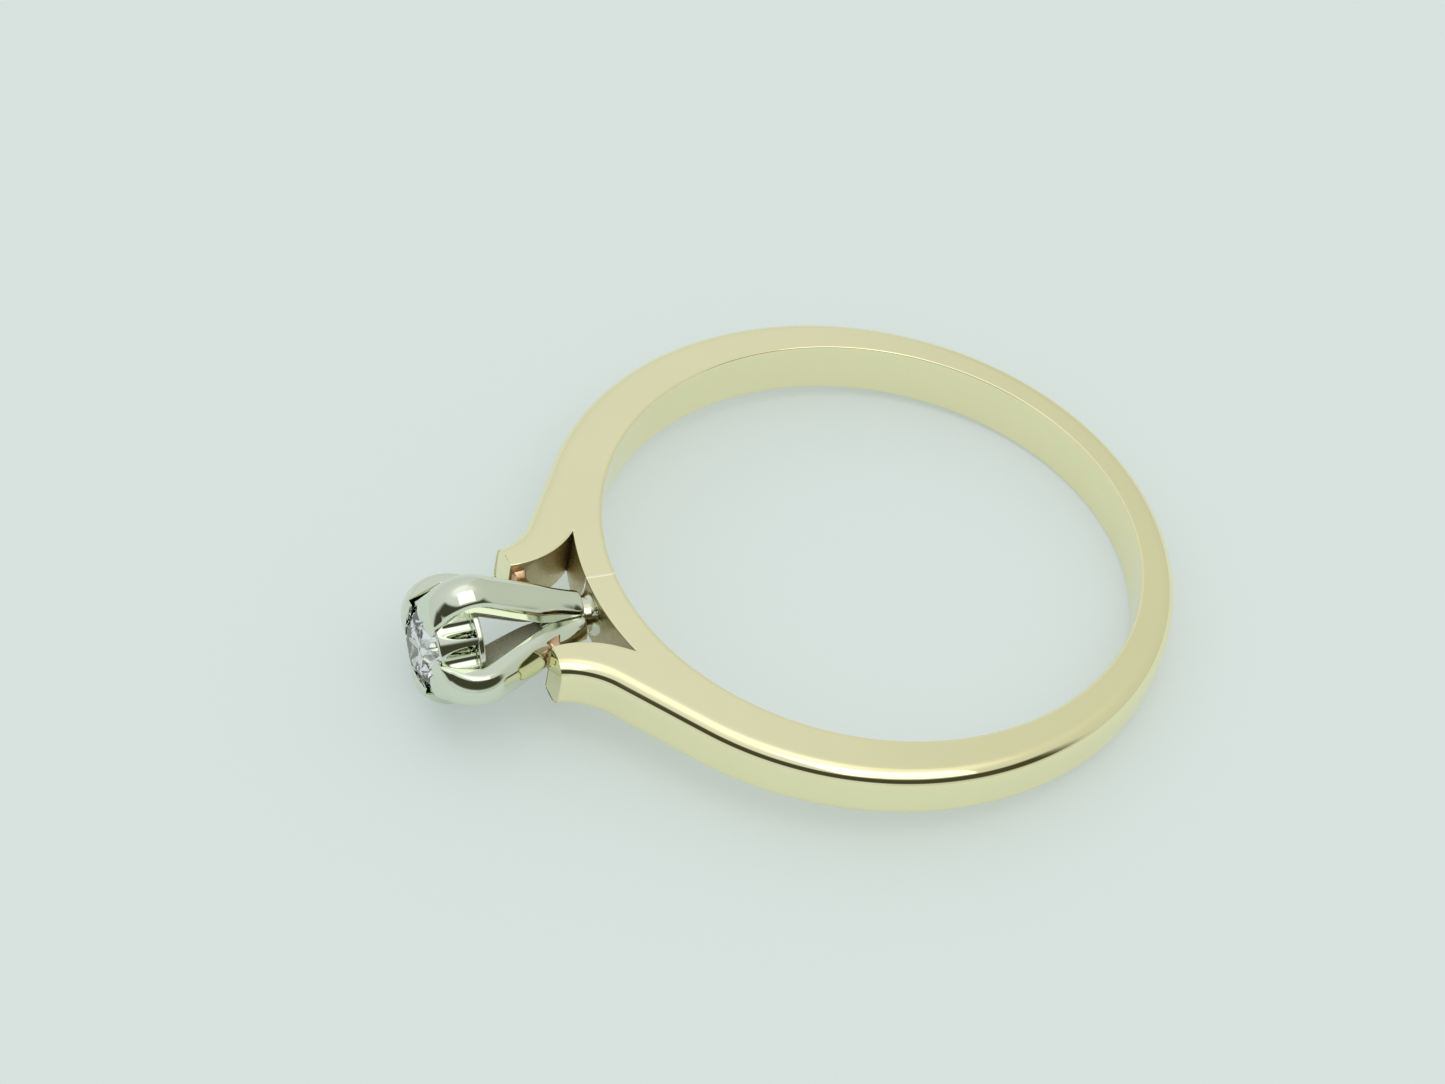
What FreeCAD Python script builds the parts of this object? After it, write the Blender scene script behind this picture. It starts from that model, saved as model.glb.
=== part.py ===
import FreeCAD, Part
import math
import os

import Sketcher
from FreeCAD import Placement, Rotation, Vector

# Solitaire engagement ring: a yellow band whose two ends are split, a white four-claw
# head with a fluted stone cup, and one small round brilliant.
# Frame: finger axis on +Z, origin at the centre of the finger hole, head towards -Y.

SIZES = [
    ("bore_radius", 8.65, "finger hole radius"),
    ("band_width", 1.80, "band width along the finger"),
    ("back_thickness", 1.10, "band thickness opposite the head"),
    ("front_thickness", 1.86, "band thickness the same circle would have under the head"),
    ("band_corner", 0.50, "rounding of the band's outer corners"),
    ("bridge_thickness", 0.95, "inner leaf of the split band, under the head"),
    ("arm_rise", 3.06, "shoulder end above the finger hole"),
    ("arm_gap", 1.75, "head axis to the inner side of a shoulder end"),
    ("arm_thickness", 1.00, "shoulder end, inner side to outer side"),
    ("arm_bend", 2.30, "radius of the hollow outside each shoulder"),
    ("arm_under", 3.00, "radius of the rounded underside of each shoulder"),
    ("shoulder_start", 6.07, "head axis to the place where the shoulder leaves the round band"),
    ("slit_reach", 2.646, "head axis to the point of each side opening"),
    ("seam_offset", 0.66, "head axis to the solder seam in the bridge"),
    ("seam_gap", 0.10, "width of the solder seam"),
    ("seam_overcut", 0.10, "how far the seam's cutter runs past the bridge"),
    ("peg_radius", 0.58, "peg under the head"),
    ("peg_height", 0.42, "bridge to the foot of the claws"),
    ("peg_sink", 0.03, "depth the peg is let into the bridge"),
    ("core_width", 1.00, "square core the four claws stand on, and each claw's foot"),
    ("core_height", 1.08, "height of the square core"),
    ("hollow_radius", 0.36, "mouth of the hollow in the core"),
    ("hollow_depth", 0.45, "depth of the hollow in the core"),
    ("claw_width", 1.32, "claw width across, above the foot"),
    ("claw_foot", 0.92, "head axis to the outside of a claw's foot"),
    ("claw_shoulder", 2.42, "head axis to the outside of a claw where it starts to curl"),
    ("claw_rise", 3.30, "claw foot to the start of the curl"),
    ("curl_radius", 1.40, "outside radius of the curl at the top of a claw"),
    ("tip_thickness", 0.20, "claw tip thickness over the stone"),
    ("tip_reach", 0.12, "how far a claw tip reaches in over the edge of the stone"),
    ("claw_corner", 0.17, "rounding of a claw's outer corners"),
    ("cup_gap", 0.01, "clearance between a claw and the stone cup"),
    ("cup_wall_height", 1.14, "stone cup, underside to rim"),
    ("rim_width", 0.14, "width of the stone cup's rim around the stone"),
    ("cup_flare", 0.43, "how much wider the stone cup is at its underside than at its rim"),
    ("rim_lift", 0.03, "rim above the top of the stone's girdle"),
    ("cup_hole", 0.92, "radius of the hole under the stone"),
    ("flute_radius", 0.42, "radius of the hollow flutes between the claws"),
    ("flute_reach", 1.86, "head axis to a flute's centre line"),
    ("flute_spread", 17.0, "turn from the diagonal to a flute, in degrees"),
    ("rail_height", 0.20, "gallery rail height"),
    ("rail_thickness", 0.30, "gallery rail thickness"),
    ("rail_gap", 0.01, "clearance between the rail and the claws"),
    ("stone_radius", 1.25, "girdle radius of the stone"),
    ("stone_gap", 0.02, "clearance around the stone"),
    ("girdle_height", 0.05, "girdle height"),
    ("crown_height", 0.36, "crown height"),
    ("table_ratio", 0.57, "table width over stone width"),
    ("pavilion_depth", 1.07, "pavilion depth"),
    ("fillet_spread", 0.20, "spread of the solder around the peg"),
    ("fillet_height", 0.16, "height of the solder around the peg"),
    ("joint_width", 1.30, "solder between a claw and a shoulder, along the finger"),
    ("joint_drop", 0.62, "shoulder end down to that solder's lower side"),
    ("joint_setback", 0.08, "shoulder end down to that solder's upper side"),
]

doc = FreeCAD.newDocument("engagement_ring")
sheet = doc.addObject("Spreadsheet::Sheet", "Sizes")
SIZE = {}
for row, (alias, value, words) in enumerate(SIZES, start=1):
    sheet.set("A%d" % row, alias)
    sheet.set("B%d" % row, str(value))
    sheet.set("C%d" % row, words)
    sheet.setAlias("B%d" % row, alias)
    SIZE[alias] = value
doc.recompute()


def size(name):
    """A driving size, read back from the sheet."""
    return float(sheet.get(name))


# ---- sizes that follow from the sheet, each with the formula that ties it to the sheet ----
BORE = size("bore_radius")
HALF_WIDTH = size("band_width") / 2
OUTER = BORE + (size("back_thickness") + size("front_thickness")) / 2
OUTER_WORDS = "Sizes.bore_radius + (Sizes.back_thickness + Sizes.front_thickness) / 2"
SHIFT = (size("front_thickness") - size("back_thickness")) / 2
SHIFT_WORDS = "(Sizes.front_thickness - Sizes.back_thickness) / 2"
BRIDGE = BORE + size("bridge_thickness")
BRIDGE_WORDS = "Sizes.bore_radius + Sizes.bridge_thickness"
ARM_END = BORE + size("arm_rise")
ARM_END_WORDS = "Sizes.bore_radius + Sizes.arm_rise"
ARM_OUTSIDE = size("arm_gap") + size("arm_thickness")
ARM_OUTSIDE_WORDS = "Sizes.arm_gap + Sizes.arm_thickness"
FOOT = BRIDGE + size("peg_height")
FOOT_WORDS = BRIDGE_WORDS + " + Sizes.peg_height"
HALF_CORE = size("core_width") / 2
CORE_TOP = FOOT + size("core_height")
CORE_TOP_WORDS = FOOT_WORDS + " + Sizes.core_height"
CURL_START = FOOT + size("claw_rise")
CURL_START_WORDS = FOOT_WORDS + " + Sizes.claw_rise"

# The curl's centre lies square to the claw's straight outside, one curl radius inwards.
CLAW_RUN = size("claw_shoulder") - size("claw_foot")
CLAW_LENGTH = math.hypot(CLAW_RUN, size("claw_rise"))
CURL_X = size("claw_shoulder") - size("curl_radius") * size("claw_rise") / CLAW_LENGTH
CURL_H = CURL_START + size("curl_radius") * CLAW_RUN / CLAW_LENGTH
CLAW_TOP = CURL_H + size("curl_radius")
TIP_UNDER = CLAW_TOP - size("tip_thickness")
TIP_END = size("stone_radius") - size("tip_reach")
CROWN_SLOPE = size("crown_height") / (size("stone_radius") * (1 - size("table_ratio")))
# The stone's girdle is set so that its crown just clears the underside of the claw tips.
GIRDLE_TOP = TIP_UNDER - size("stone_gap") / 2 - size("tip_reach") * CROWN_SLOPE
GIRDLE_LOW = GIRDLE_TOP - size("girdle_height")
RIM = size("stone_radius") + size("stone_gap") + size("rim_width")
RIM_H = GIRDLE_TOP + size("rim_lift")
CUP_BOTTOM = RIM_H - size("cup_wall_height")
CUP_EDGE = RIM + size("cup_flare")
SEAT_SLOPE = size("pavilion_depth") / size("stone_radius")

# The same chain of sizes written as sheet formulas.
CURL_RUN_WORDS = "sqrt((Sizes.claw_shoulder - Sizes.claw_foot) ^ 2 + Sizes.claw_rise ^ 2)"
CURL_H_WORDS = ("(" + CURL_START_WORDS + " + Sizes.curl_radius * "
                "(Sizes.claw_shoulder - Sizes.claw_foot) / " + CURL_RUN_WORDS + ")")
TIP_UNDER_WORDS = "(" + CURL_H_WORDS + " + Sizes.curl_radius - Sizes.tip_thickness)"
TIP_END_WORDS = "(Sizes.stone_radius - Sizes.tip_reach)"
GIRDLE_TOP_WORDS = ("(" + TIP_UNDER_WORDS + " - Sizes.stone_gap / 2 - Sizes.tip_reach * "
                    "Sizes.crown_height / (Sizes.stone_radius * (1 - Sizes.table_ratio)))")
RIM_WORDS = "(Sizes.stone_radius + Sizes.stone_gap + Sizes.rim_width)"
RIM_H_WORDS = "(" + GIRDLE_TOP_WORDS + " + Sizes.rim_lift)"
CUP_BOTTOM_WORDS = "(" + RIM_H_WORDS + " - Sizes.cup_wall_height)"
CUP_EDGE_WORDS = "(" + RIM_WORDS + " + Sizes.cup_flare)"


def checked(label):
    """Recompute the document and stop on any object that failed."""
    doc.recompute()
    for item in doc.Objects:
        if "Invalid" in item.State or "Error" in item.State:
            raise RuntimeError("%s: %s is in state %s" % (label, item.Name, item.State))


def new_body(name):
    """An empty body labelled with its sub-part's name."""
    body = doc.addObject("PartDesign::Body", name)
    body.Label = name
    return body


def plane(body, role):
    """One of the body's own origin planes, XY_Plane, XZ_Plane or YZ_Plane."""
    for item in body.Origin.OriginFeatures:
        if item.Role == role:
            return item
    raise RuntimeError("no plane " + role)


def new_sketch(body, name, role="XY_Plane"):
    """A sketch on one of the body's origin planes."""
    sketch = body.newObject("Sketcher::SketchObject", name)
    sketch.AttachmentSupport = (plane(body, role), [""])
    sketch.MapMode = "FlatFace"
    return sketch


def hold(sketch, kind, refs, value, name, words):
    """Add a dimension to a sketch, name it and tie it to the sheet."""
    index = sketch.addConstraint(Sketcher.Constraint(kind, *refs, value))
    sketch.renameConstraint(index, name)
    sketch.setExpression("Constraints." + name, words)


def join(sketch, pairs):
    """Make each pair of end points meet."""
    for first, first_end, second, second_end in pairs:
        sketch.addConstraint(Sketcher.Constraint("Coincident", first, first_end, second, second_end))


def line(sketch, start, end):
    """A straight line between two (x, y) points."""
    return sketch.addGeometry(Part.LineSegment(Vector(*start, 0), Vector(*end, 0)), False)


def arc(sketch, centre, radius, start, end):
    """An arc that runs anticlockwise from the start point to the end point."""
    first = math.atan2(start[1] - centre[1], start[0] - centre[0])
    last = math.atan2(end[1] - centre[1], end[0] - centre[0])
    if last <= first:
        last += 2 * math.pi
    circle = Part.Circle(Vector(*centre, 0), Vector(0, 0, 1), radius)
    return sketch.addGeometry(Part.ArcOfCircle(circle, first, last), False)


def pad(body, sketch, name, length_words, both_ways=True):
    """Pad a sketch, both ways from its plane."""
    feature = body.newObject("PartDesign::Pad", name)
    feature.Profile = sketch
    feature.Midplane = both_ways
    feature.setExpression("Length", length_words)
    body.Tip = feature
    return feature


def revolve(body, sketch, name):
    """Turn a sketch once around the body's Y axis, the axis of the head."""
    feature = body.newObject("PartDesign::Revolution", name)
    feature.Profile = sketch
    feature.ReferenceAxis = (sketch, ["V_Axis"])
    feature.Angle = 360
    body.Tip = feature
    return feature


def mirrored(point):
    """The same point on the other side of the head axis."""
    return (-point[0], point[1])


# ---- shank: round band, two shoulders and the bridge under the head ----
shank = new_body("shank")
outline = new_sketch(shank, "shank_outline")

start_x = size("shoulder_start")
start_drop = math.sqrt(OUTER ** 2 - start_x ** 2)
leave = (start_x, -SHIFT - start_drop)
along = (-start_drop / OUTER, -start_x / OUTER)
outward = (start_x / OUTER, -start_drop / OUTER)
tip_out = (ARM_OUTSIDE, -ARM_END)
tip_in = (size("arm_gap"), -ARM_END)

# The hollow is tangent to the shoulder's straight stretch and ends at the shoulder's tip.
bend = size("arm_bend")
tip_run = (tip_out[0] - leave[0]) * along[0] + (tip_out[1] - leave[1]) * along[1]
tip_lift = (tip_out[0] - leave[0]) * outward[0] + (tip_out[1] - leave[1]) * outward[1]
run = tip_run - math.sqrt(bend ** 2 - (bend - tip_lift) ** 2)
touch = (leave[0] + run * along[0], leave[1] + run * along[1])
bend_centre = (touch[0] + bend * outward[0], touch[1] + bend * outward[1])

# The underside is an arc from the shoulder's tip to the point of the side opening.
slit_x = size("slit_reach")
slit = (slit_x, -math.sqrt(BRIDGE ** 2 - slit_x ** 2))
chord = (slit[0] - tip_in[0], slit[1] - tip_in[1])
chord_length = math.hypot(*chord)
under = size("arm_under")
under_depth = math.sqrt(under ** 2 - (chord_length / 2) ** 2)
under_centre = (
    (slit[0] + tip_in[0]) / 2 + under_depth * chord[1] / chord_length,
    (slit[1] + tip_in[1]) / 2 - under_depth * chord[0] / chord_length,
)

round_back = arc(outline, (0, -SHIFT), OUTER, leave, mirrored(leave))
slope_right = line(outline, leave, touch)
hollow_right = arc(outline, bend_centre, bend, touch, tip_out)
end_right = line(outline, tip_out, tip_in)
under_right = arc(outline, under_centre, under, slit, tip_in)
bridge_top = arc(outline, (0, 0), BRIDGE, mirrored(slit), slit)
under_left = arc(outline, mirrored(under_centre), under, mirrored(tip_in), mirrored(slit))
end_left = line(outline, mirrored(tip_in), mirrored(tip_out))
hollow_left = arc(outline, mirrored(bend_centre), bend, mirrored(tip_out), mirrored(touch))
slope_left = line(outline, mirrored(touch), mirrored(leave))
bore_circle = Part.Circle(Vector(0, 0, 0), Vector(0, 0, 1), BORE)
bore_edge = outline.addGeometry(bore_circle, False)

START, END, CENTRE = 1, 2, 3
join(outline, [
    (hollow_right, END, end_right, START),
    (end_right, END, under_right, END),
    (under_right, START, bridge_top, END),
    (bridge_top, START, under_left, END),
    (under_left, START, end_left, START),
    (end_left, END, hollow_left, START),
    (bridge_top, CENTRE, -1, START),
    (bore_edge, CENTRE, -1, START),
])
for first, first_end, second, second_end in [
    (round_back, START, slope_right, START),
    (slope_right, END, hollow_right, START),
    (round_back, END, slope_left, END),
    (slope_left, START, hollow_left, END),
]:
    outline.addConstraint(
        Sketcher.Constraint("Tangent", first, first_end, second, second_end))
for right, right_end, left, left_end in [
    (end_right, START, end_left, END),
    (end_right, END, end_left, START),
    (slope_right, START, slope_left, END),
    (bridge_top, START, bridge_top, END),
]:
    outline.addConstraint(
        Sketcher.Constraint("Symmetric", right, right_end, left, left_end, -2))
outline.addConstraint(Sketcher.Constraint("Equal", hollow_right, hollow_left))
outline.addConstraint(Sketcher.Constraint("Equal", under_right, under_left))
hold(outline, "Radius", (round_back,), OUTER, "band_outside", OUTER_WORDS)
hold(outline, "DistanceY", (round_back, CENTRE, -1, START), SHIFT, "band_shift", SHIFT_WORDS)
hold(outline, "Radius", (bore_edge,), BORE, "finger_hole", "Sizes.bore_radius")
hold(outline, "Radius", (bridge_top,), BRIDGE, "bridge_outside", BRIDGE_WORDS)
hold(outline, "Radius", (hollow_right,), bend, "hollow", "Sizes.arm_bend")
hold(outline, "Radius", (under_right,), under, "underside", "Sizes.arm_under")
hold(outline, "DistanceX", (-1, START, slope_right, START), start_x,
     "shoulder_begins", "Sizes.shoulder_start")
hold(outline, "DistanceX", (-1, START, end_right, START), ARM_OUTSIDE,
     "tip_outside", ARM_OUTSIDE_WORDS)
hold(outline, "DistanceX", (-1, START, end_right, END), size("arm_gap"),
     "tip_inside", "Sizes.arm_gap")
hold(outline, "DistanceY", (end_right, START, -1, START), ARM_END, "tip_height", ARM_END_WORDS)
outline.addConstraint(Sketcher.Constraint("Horizontal", end_right))
hold(outline, "DistanceX", (-1, START, bridge_top, END), slit_x,
     "slit_point", "Sizes.slit_reach")
band = pad(shank, outline, "shank_pad", "Sizes.band_width")
checked("shank outline")

seam_x = size("seam_offset")
slot = new_sketch(shank, "seam_slot")
SEAM_LOW = math.sqrt(BORE ** 2 - seam_x ** 2) - size("seam_overcut")
SEAM_HIGH = math.sqrt(BRIDGE ** 2 - seam_x ** 2) + size("seam_overcut")


def seam_corners(low, high):
    """Corners of the seam, square to the bridge, low and high above the finger's axis."""
    half = size("seam_gap") / 2
    return [(-seam_x - half, -low), (-seam_x + half, -low),
            (-seam_x + half, -high), (-seam_x - half, -high)]


def rectangle(sketch, corners, words):
    """Closed box of lines held by left, right, top and bottom distances from the origin."""
    edges = []
    for index in range(4):
        edges.append(line(sketch, corners[index], corners[(index + 1) % 4]))
    join(sketch, [(edges[index], END, edges[(index + 1) % 4], START) for index in range(4)])
    sketch.addConstraint(Sketcher.Constraint("Horizontal", edges[0]))
    sketch.addConstraint(Sketcher.Constraint("Horizontal", edges[2]))
    sketch.addConstraint(Sketcher.Constraint("Vertical", edges[1]))
    sketch.addConstraint(Sketcher.Constraint("Vertical", edges[3]))
    for name, kind, value, formula in words:
        place = (edges[0], START) if name.endswith("first") else (edges[2], START)
        if value < 0:
            refs = (*place, -1, START)
        else:
            refs = (-1, START, *place)
        hold(sketch, kind, refs, abs(value), name, formula)
    return edges


def box_words(corners, left, right, near, far):
    """Dimension list of a rectangle from its corners and the four formulas."""
    return [
        ("x_first", "DistanceX", corners[0][0], left),
        ("y_first", "DistanceY", corners[0][1], near),
        ("x_second", "DistanceX", corners[2][0], right),
        ("y_second", "DistanceY", corners[2][1], far),
    ]


SEAM_LEFT_WORDS = "Sizes.seam_offset + Sizes.seam_gap / 2"
SEAM_RIGHT_WORDS = "Sizes.seam_offset - Sizes.seam_gap / 2"
slot_corners = seam_corners(SEAM_LOW, SEAM_HIGH)
rectangle(slot, slot_corners, box_words(
    slot_corners, SEAM_LEFT_WORDS, SEAM_RIGHT_WORDS,
    "sqrt(Sizes.bore_radius ^ 2 - Sizes.seam_offset ^ 2) - Sizes.seam_overcut",
    "sqrt((" + BRIDGE_WORDS + ") ^ 2 - Sizes.seam_offset ^ 2) + Sizes.seam_overcut"))
cut = shank.newObject("PartDesign::Pocket", "seam_cut")
cut.Profile = slot
cut.Midplane = True
cut.setExpression("Length", "Sizes.band_width + 2 * Sizes.seam_overcut")
shank.Tip = cut
checked("seam slot")


def outer_edges(shape):
    """Edges of both flat sides that lie on the band's outside, shoulders included."""
    chosen = []
    for number, edge in enumerate(shape.Edges, start=1):
        first = edge.valueAt(edge.FirstParameter)
        middle = edge.valueAt((edge.FirstParameter + edge.LastParameter) / 2)
        flat = abs(abs(first.z) - HALF_WIDTH) < 1e-5 and abs(abs(middle.z) - HALF_WIDTH) < 1e-5
        if not flat:
            continue
        radius = getattr(edge.Curve, "Radius", 0)
        if abs(radius - OUTER) < 1e-4 or abs(radius - bend) < 1e-4:
            chosen.append("Edge%d" % number)
        elif radius == 0 and abs(middle.x) > slit_x and middle.y < 0:
            chosen.append("Edge%d" % number)
    return chosen


soft = shank.newObject("PartDesign::Fillet", "band_corners")
soft.Base = (cut, outer_edges(cut.Shape))
soft.setExpression("Radius", "Sizes.band_corner")
shank.Tip = soft
checked("band corners")

# ---- solder in the bridge seam: fills the slot, flush with the hole and the bridge ----
seam = new_body("bridge_seam_solder")
seam_sketch = new_sketch(seam, "seam_outline")
fill_corners = seam_corners(
    math.sqrt(BORE ** 2 - seam_x ** 2), math.sqrt(BRIDGE ** 2 - seam_x ** 2))
rectangle(seam_sketch, fill_corners, box_words(
    fill_corners, SEAM_LEFT_WORDS, SEAM_RIGHT_WORDS,
    "sqrt(Sizes.bore_radius ^ 2 - Sizes.seam_offset ^ 2)",
    "sqrt((" + BRIDGE_WORDS + ") ^ 2 - Sizes.seam_offset ^ 2)"))
pad(seam, seam_sketch, "seam_pad", "Sizes.band_width")
checked("seam solder")

# ---- head base: round peg on the bridge, square core above it, hollowed at the top ----
base = new_body("head_base")
peg_low = BRIDGE - size("peg_sink")
peg_sketch = new_sketch(base, "peg_outline")
peg_corners = [(0, -peg_low), (size("peg_radius"), -peg_low),
               (size("peg_radius"), -FOOT), (0, -FOOT)]
peg_edges = rectangle(peg_sketch, peg_corners, [
    ("y_first", "DistanceY", -peg_low, BRIDGE_WORDS + " - Sizes.peg_sink"),
    ("x_second", "DistanceX", size("peg_radius"), "Sizes.peg_radius"),
    ("y_second", "DistanceY", -FOOT, FOOT_WORDS),
])
peg_sketch.addConstraint(Sketcher.Constraint("PointOnObject", peg_edges[0], START, -2))
revolve(base, peg_sketch, "peg_turned")
core_sketch = new_sketch(base, "core_outline")
core_corners = [(-HALF_CORE, -FOOT), (HALF_CORE, -FOOT),
                (HALF_CORE, -CORE_TOP), (-HALF_CORE, -CORE_TOP)]
rectangle(core_sketch, core_corners, box_words(
    core_corners, "Sizes.core_width / 2", "Sizes.core_width / 2", FOOT_WORDS, CORE_TOP_WORDS))
pad(base, core_sketch, "core_pad", "Sizes.core_width")
cup_sketch = new_sketch(base, "cup_outline")
cup_mouth = (size("hollow_radius"), -CORE_TOP)
cup_edges = [
    line(cup_sketch, (0, -CORE_TOP + size("hollow_depth")), cup_mouth),
    line(cup_sketch, cup_mouth, (0, -CORE_TOP)),
    line(cup_sketch, (0, -CORE_TOP), (0, -CORE_TOP + size("hollow_depth"))),
]
join(cup_sketch, [(cup_edges[index], END, cup_edges[(index + 1) % 3], START)
                  for index in range(3)])
cup_sketch.addConstraint(Sketcher.Constraint("PointOnObject", cup_edges[0], START, -2))
cup_sketch.addConstraint(Sketcher.Constraint("Vertical", cup_edges[2]))
cup_sketch.addConstraint(Sketcher.Constraint("Horizontal", cup_edges[1]))
hold(cup_sketch, "DistanceX", (-1, START, cup_edges[0], END), size("hollow_radius"),
     "mouth", "Sizes.hollow_radius")
hold(cup_sketch, "DistanceY", (cup_edges[0], END, -1, START), CORE_TOP, "rim", CORE_TOP_WORDS)
hold(cup_sketch, "DistanceY", (cup_edges[0], START, -1, START), CORE_TOP - size("hollow_depth"),
     "bottom", CORE_TOP_WORDS + " - Sizes.hollow_depth")
cup = base.newObject("PartDesign::Groove", "cup_turned")
cup.Profile = cup_sketch
cup.ReferenceAxis = (cup_sketch, ["V_Axis"])
cup.Angle = 360
base.Tip = cup
checked("head base")

# The inside of each claw leans out from the core's top edge to the foot of the stone cup.
INSIDE_SLOPE = (CUP_EDGE + size("cup_gap") - HALF_CORE) / (CUP_BOTTOM - CORE_TOP)
INSIDE_SLOPE_WORDS = ("(" + CUP_EDGE_WORDS + " + Sizes.cup_gap - Sizes.core_width / 2) / ("
                      + CUP_BOTTOM_WORDS + " - (" + CORE_TOP_WORDS + "))")
# ---- claws: four straps on the core's faces, straight outside, curled over the stone ----
tip_x = TIP_END
curl = size("curl_radius")


def build_claw(name, turn):
    """One claw in its own body, turned about the head axis by the given angle."""
    body = new_body(name)
    sketch = new_sketch(body, name + "_outline")
    foot_in = (HALF_CORE, -FOOT)
    foot_out = (size("claw_foot"), -FOOT)
    curl_start = (size("claw_shoulder"), -CURL_START)
    tip_top = (tip_x, -(CURL_H + math.sqrt(curl ** 2 - (tip_x - CURL_X) ** 2)))
    tip_low = (tip_x, -TIP_UNDER)
    seat_top = (RIM + size("cup_gap"), -TIP_UNDER)
    seat_low = (CUP_EDGE + size("cup_gap"), -CUP_BOTTOM)
    root_top = (HALF_CORE, -CORE_TOP)
    foot = line(sketch, foot_in, foot_out)
    outside = line(sketch, foot_out, curl_start)
    back = arc(sketch, (CURL_X, -CURL_H), curl, tip_top, curl_start)
    tip = line(sketch, tip_top, tip_low)
    tip_under = line(sketch, tip_low, seat_top)
    grip = line(sketch, seat_top, seat_low)
    inside = line(sketch, seat_low, root_top)
    root = line(sketch, root_top, foot_in)
    join(sketch, [
        (foot, END, outside, START), (back, START, tip, START), (tip, END, tip_under, START),
        (tip_under, END, grip, START), (grip, END, inside, START), (inside, END, root, START),
        (root, END, foot, START),
    ])
    sketch.addConstraint(Sketcher.Constraint("Tangent", outside, END, back, END))
    for flat in (foot, tip_under):
        sketch.addConstraint(Sketcher.Constraint("Horizontal", flat))
    for upright in (tip, root):
        sketch.addConstraint(Sketcher.Constraint("Vertical", upright))
    for edge, end, place, across_words, up_words, label in [
        (foot, START, foot_in, "Sizes.core_width / 2", FOOT_WORDS, "foot"),
        (foot, END, foot_out, "Sizes.claw_foot", None, "foot_out"),
        (outside, END, curl_start, "Sizes.claw_shoulder", CURL_START_WORDS, "shoulder"),
        (tip, END, tip_low, TIP_END_WORDS, TIP_UNDER_WORDS, "tip"),
        (grip, START, seat_top, RIM_WORDS + " + Sizes.cup_gap", None, "seat_top"),
        (grip, END, seat_low, CUP_EDGE_WORDS + " + Sizes.cup_gap", CUP_BOTTOM_WORDS,
         "seat_low"),
        (root, START, root_top, None, CORE_TOP_WORDS, "root"),
    ]:
        if across_words:
            hold(sketch, "DistanceX", (-1, START, edge, end), place[0], label + "_x",
                 across_words)
        if up_words:
            hold(sketch, "DistanceY", (edge, end, -1, START), -place[1], label + "_y", up_words)
    hold(sketch, "Radius", (back,), curl, "curl", "Sizes.curl_radius")
    strap = pad(body, sketch, name + "_pad", "Sizes.claw_width")
    checked(name)
    edges = []
    half = size("claw_width") / 2
    for number, edge in enumerate(strap.Shape.Edges, start=1):
        first = edge.valueAt(edge.FirstParameter)
        last = edge.valueAt(edge.LastParameter)
        if abs(abs(first.z) - half) > 1e-5 or abs(first.z - last.z) > 1e-5:
            continue
        radius = getattr(edge.Curve, "Radius", 0)
        if abs(radius - curl) < 1e-4 or (radius == 0 and edge.Length > 0.95 * CLAW_LENGTH):
            edges.append("Edge%d" % number)
    rounded = body.newObject("PartDesign::Fillet", name + "_corners")
    rounded.Base = (strap, edges)
    rounded.setExpression("Radius", "Sizes.claw_corner")
    body.Tip = rounded
    checked(name + " corners")

    # Each side of the foot is trimmed to the core's width, then follows the claw's own inside
    # outwards, so that two neighbouring claws meet along their edges and don't run together.
    past = size("claw_width") / 2 + size("claw_corner")
    past_words = "Sizes.claw_width / 2 + Sizes.claw_corner"
    meet = CORE_TOP + (past - HALF_CORE) / INSIDE_SLOPE
    meet_words = ("(" + CORE_TOP_WORDS + ") + (" + past_words + " - Sizes.core_width / 2) / ("
                  + INSIDE_SLOPE_WORDS + ")")
    below = FOOT - size("claw_corner")
    for side, sign in (("a", 1), ("b", -1)):
        trim = new_sketch(body, name + "_trim_" + side, "YZ_Plane")
        corners = [(-below, sign * HALF_CORE), (-CORE_TOP, sign * HALF_CORE),
                   (-meet, sign * past), (-below, sign * past)]
        sides = [line(trim, corners[index], corners[(index + 1) % 4]) for index in range(4)]
        join(trim, [(sides[index], END, sides[(index + 1) % 4], START) for index in range(4)])
        trim.addConstraint(Sketcher.Constraint("Horizontal", sides[0]))
        trim.addConstraint(Sketcher.Constraint("Horizontal", sides[2]))
        trim.addConstraint(Sketcher.Constraint("Vertical", sides[3]))

        def across(edge, value, label, words):
            """Hold one corner's distance from the claw's middle plane."""
            refs = (-1, START, edge, START) if sign > 0 else (edge, START, -1, START)
            hold(trim, "DistanceY", refs, value, label, words)

        across(sides[0], HALF_CORE, "foot_half", "Sizes.core_width / 2")
        across(sides[2], past, "past", past_words)
        hold(trim, "DistanceX", (sides[0], START, -1, START), below, "below",
             FOOT_WORDS + " - Sizes.claw_corner")
        hold(trim, "DistanceX", (sides[1], START, -1, START), CORE_TOP, "core_top",
             CORE_TOP_WORDS)
        hold(trim, "DistanceX", (sides[2], START, -1, START), meet, "meet", meet_words)
        trimmed = body.newObject("PartDesign::Pocket", name + "_trimmed_" + side)
        trimmed.Profile = trim
        trimmed.Midplane = True
        trimmed.setExpression("Length", "4 * (" + CUP_EDGE_WORDS + ")")
        body.Tip = trimmed
        checked(name + " foot")
    body.Placement = Placement(Vector(0, 0, 0), Rotation(Vector(0, 1, 0), turn))
    checked(name)
    return body


claws = [
    build_claw("claw_right", 0),
    build_claw("claw_upper", -90),
    build_claw("claw_left", 180),
    build_claw("claw_lower", 90),
]

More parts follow.
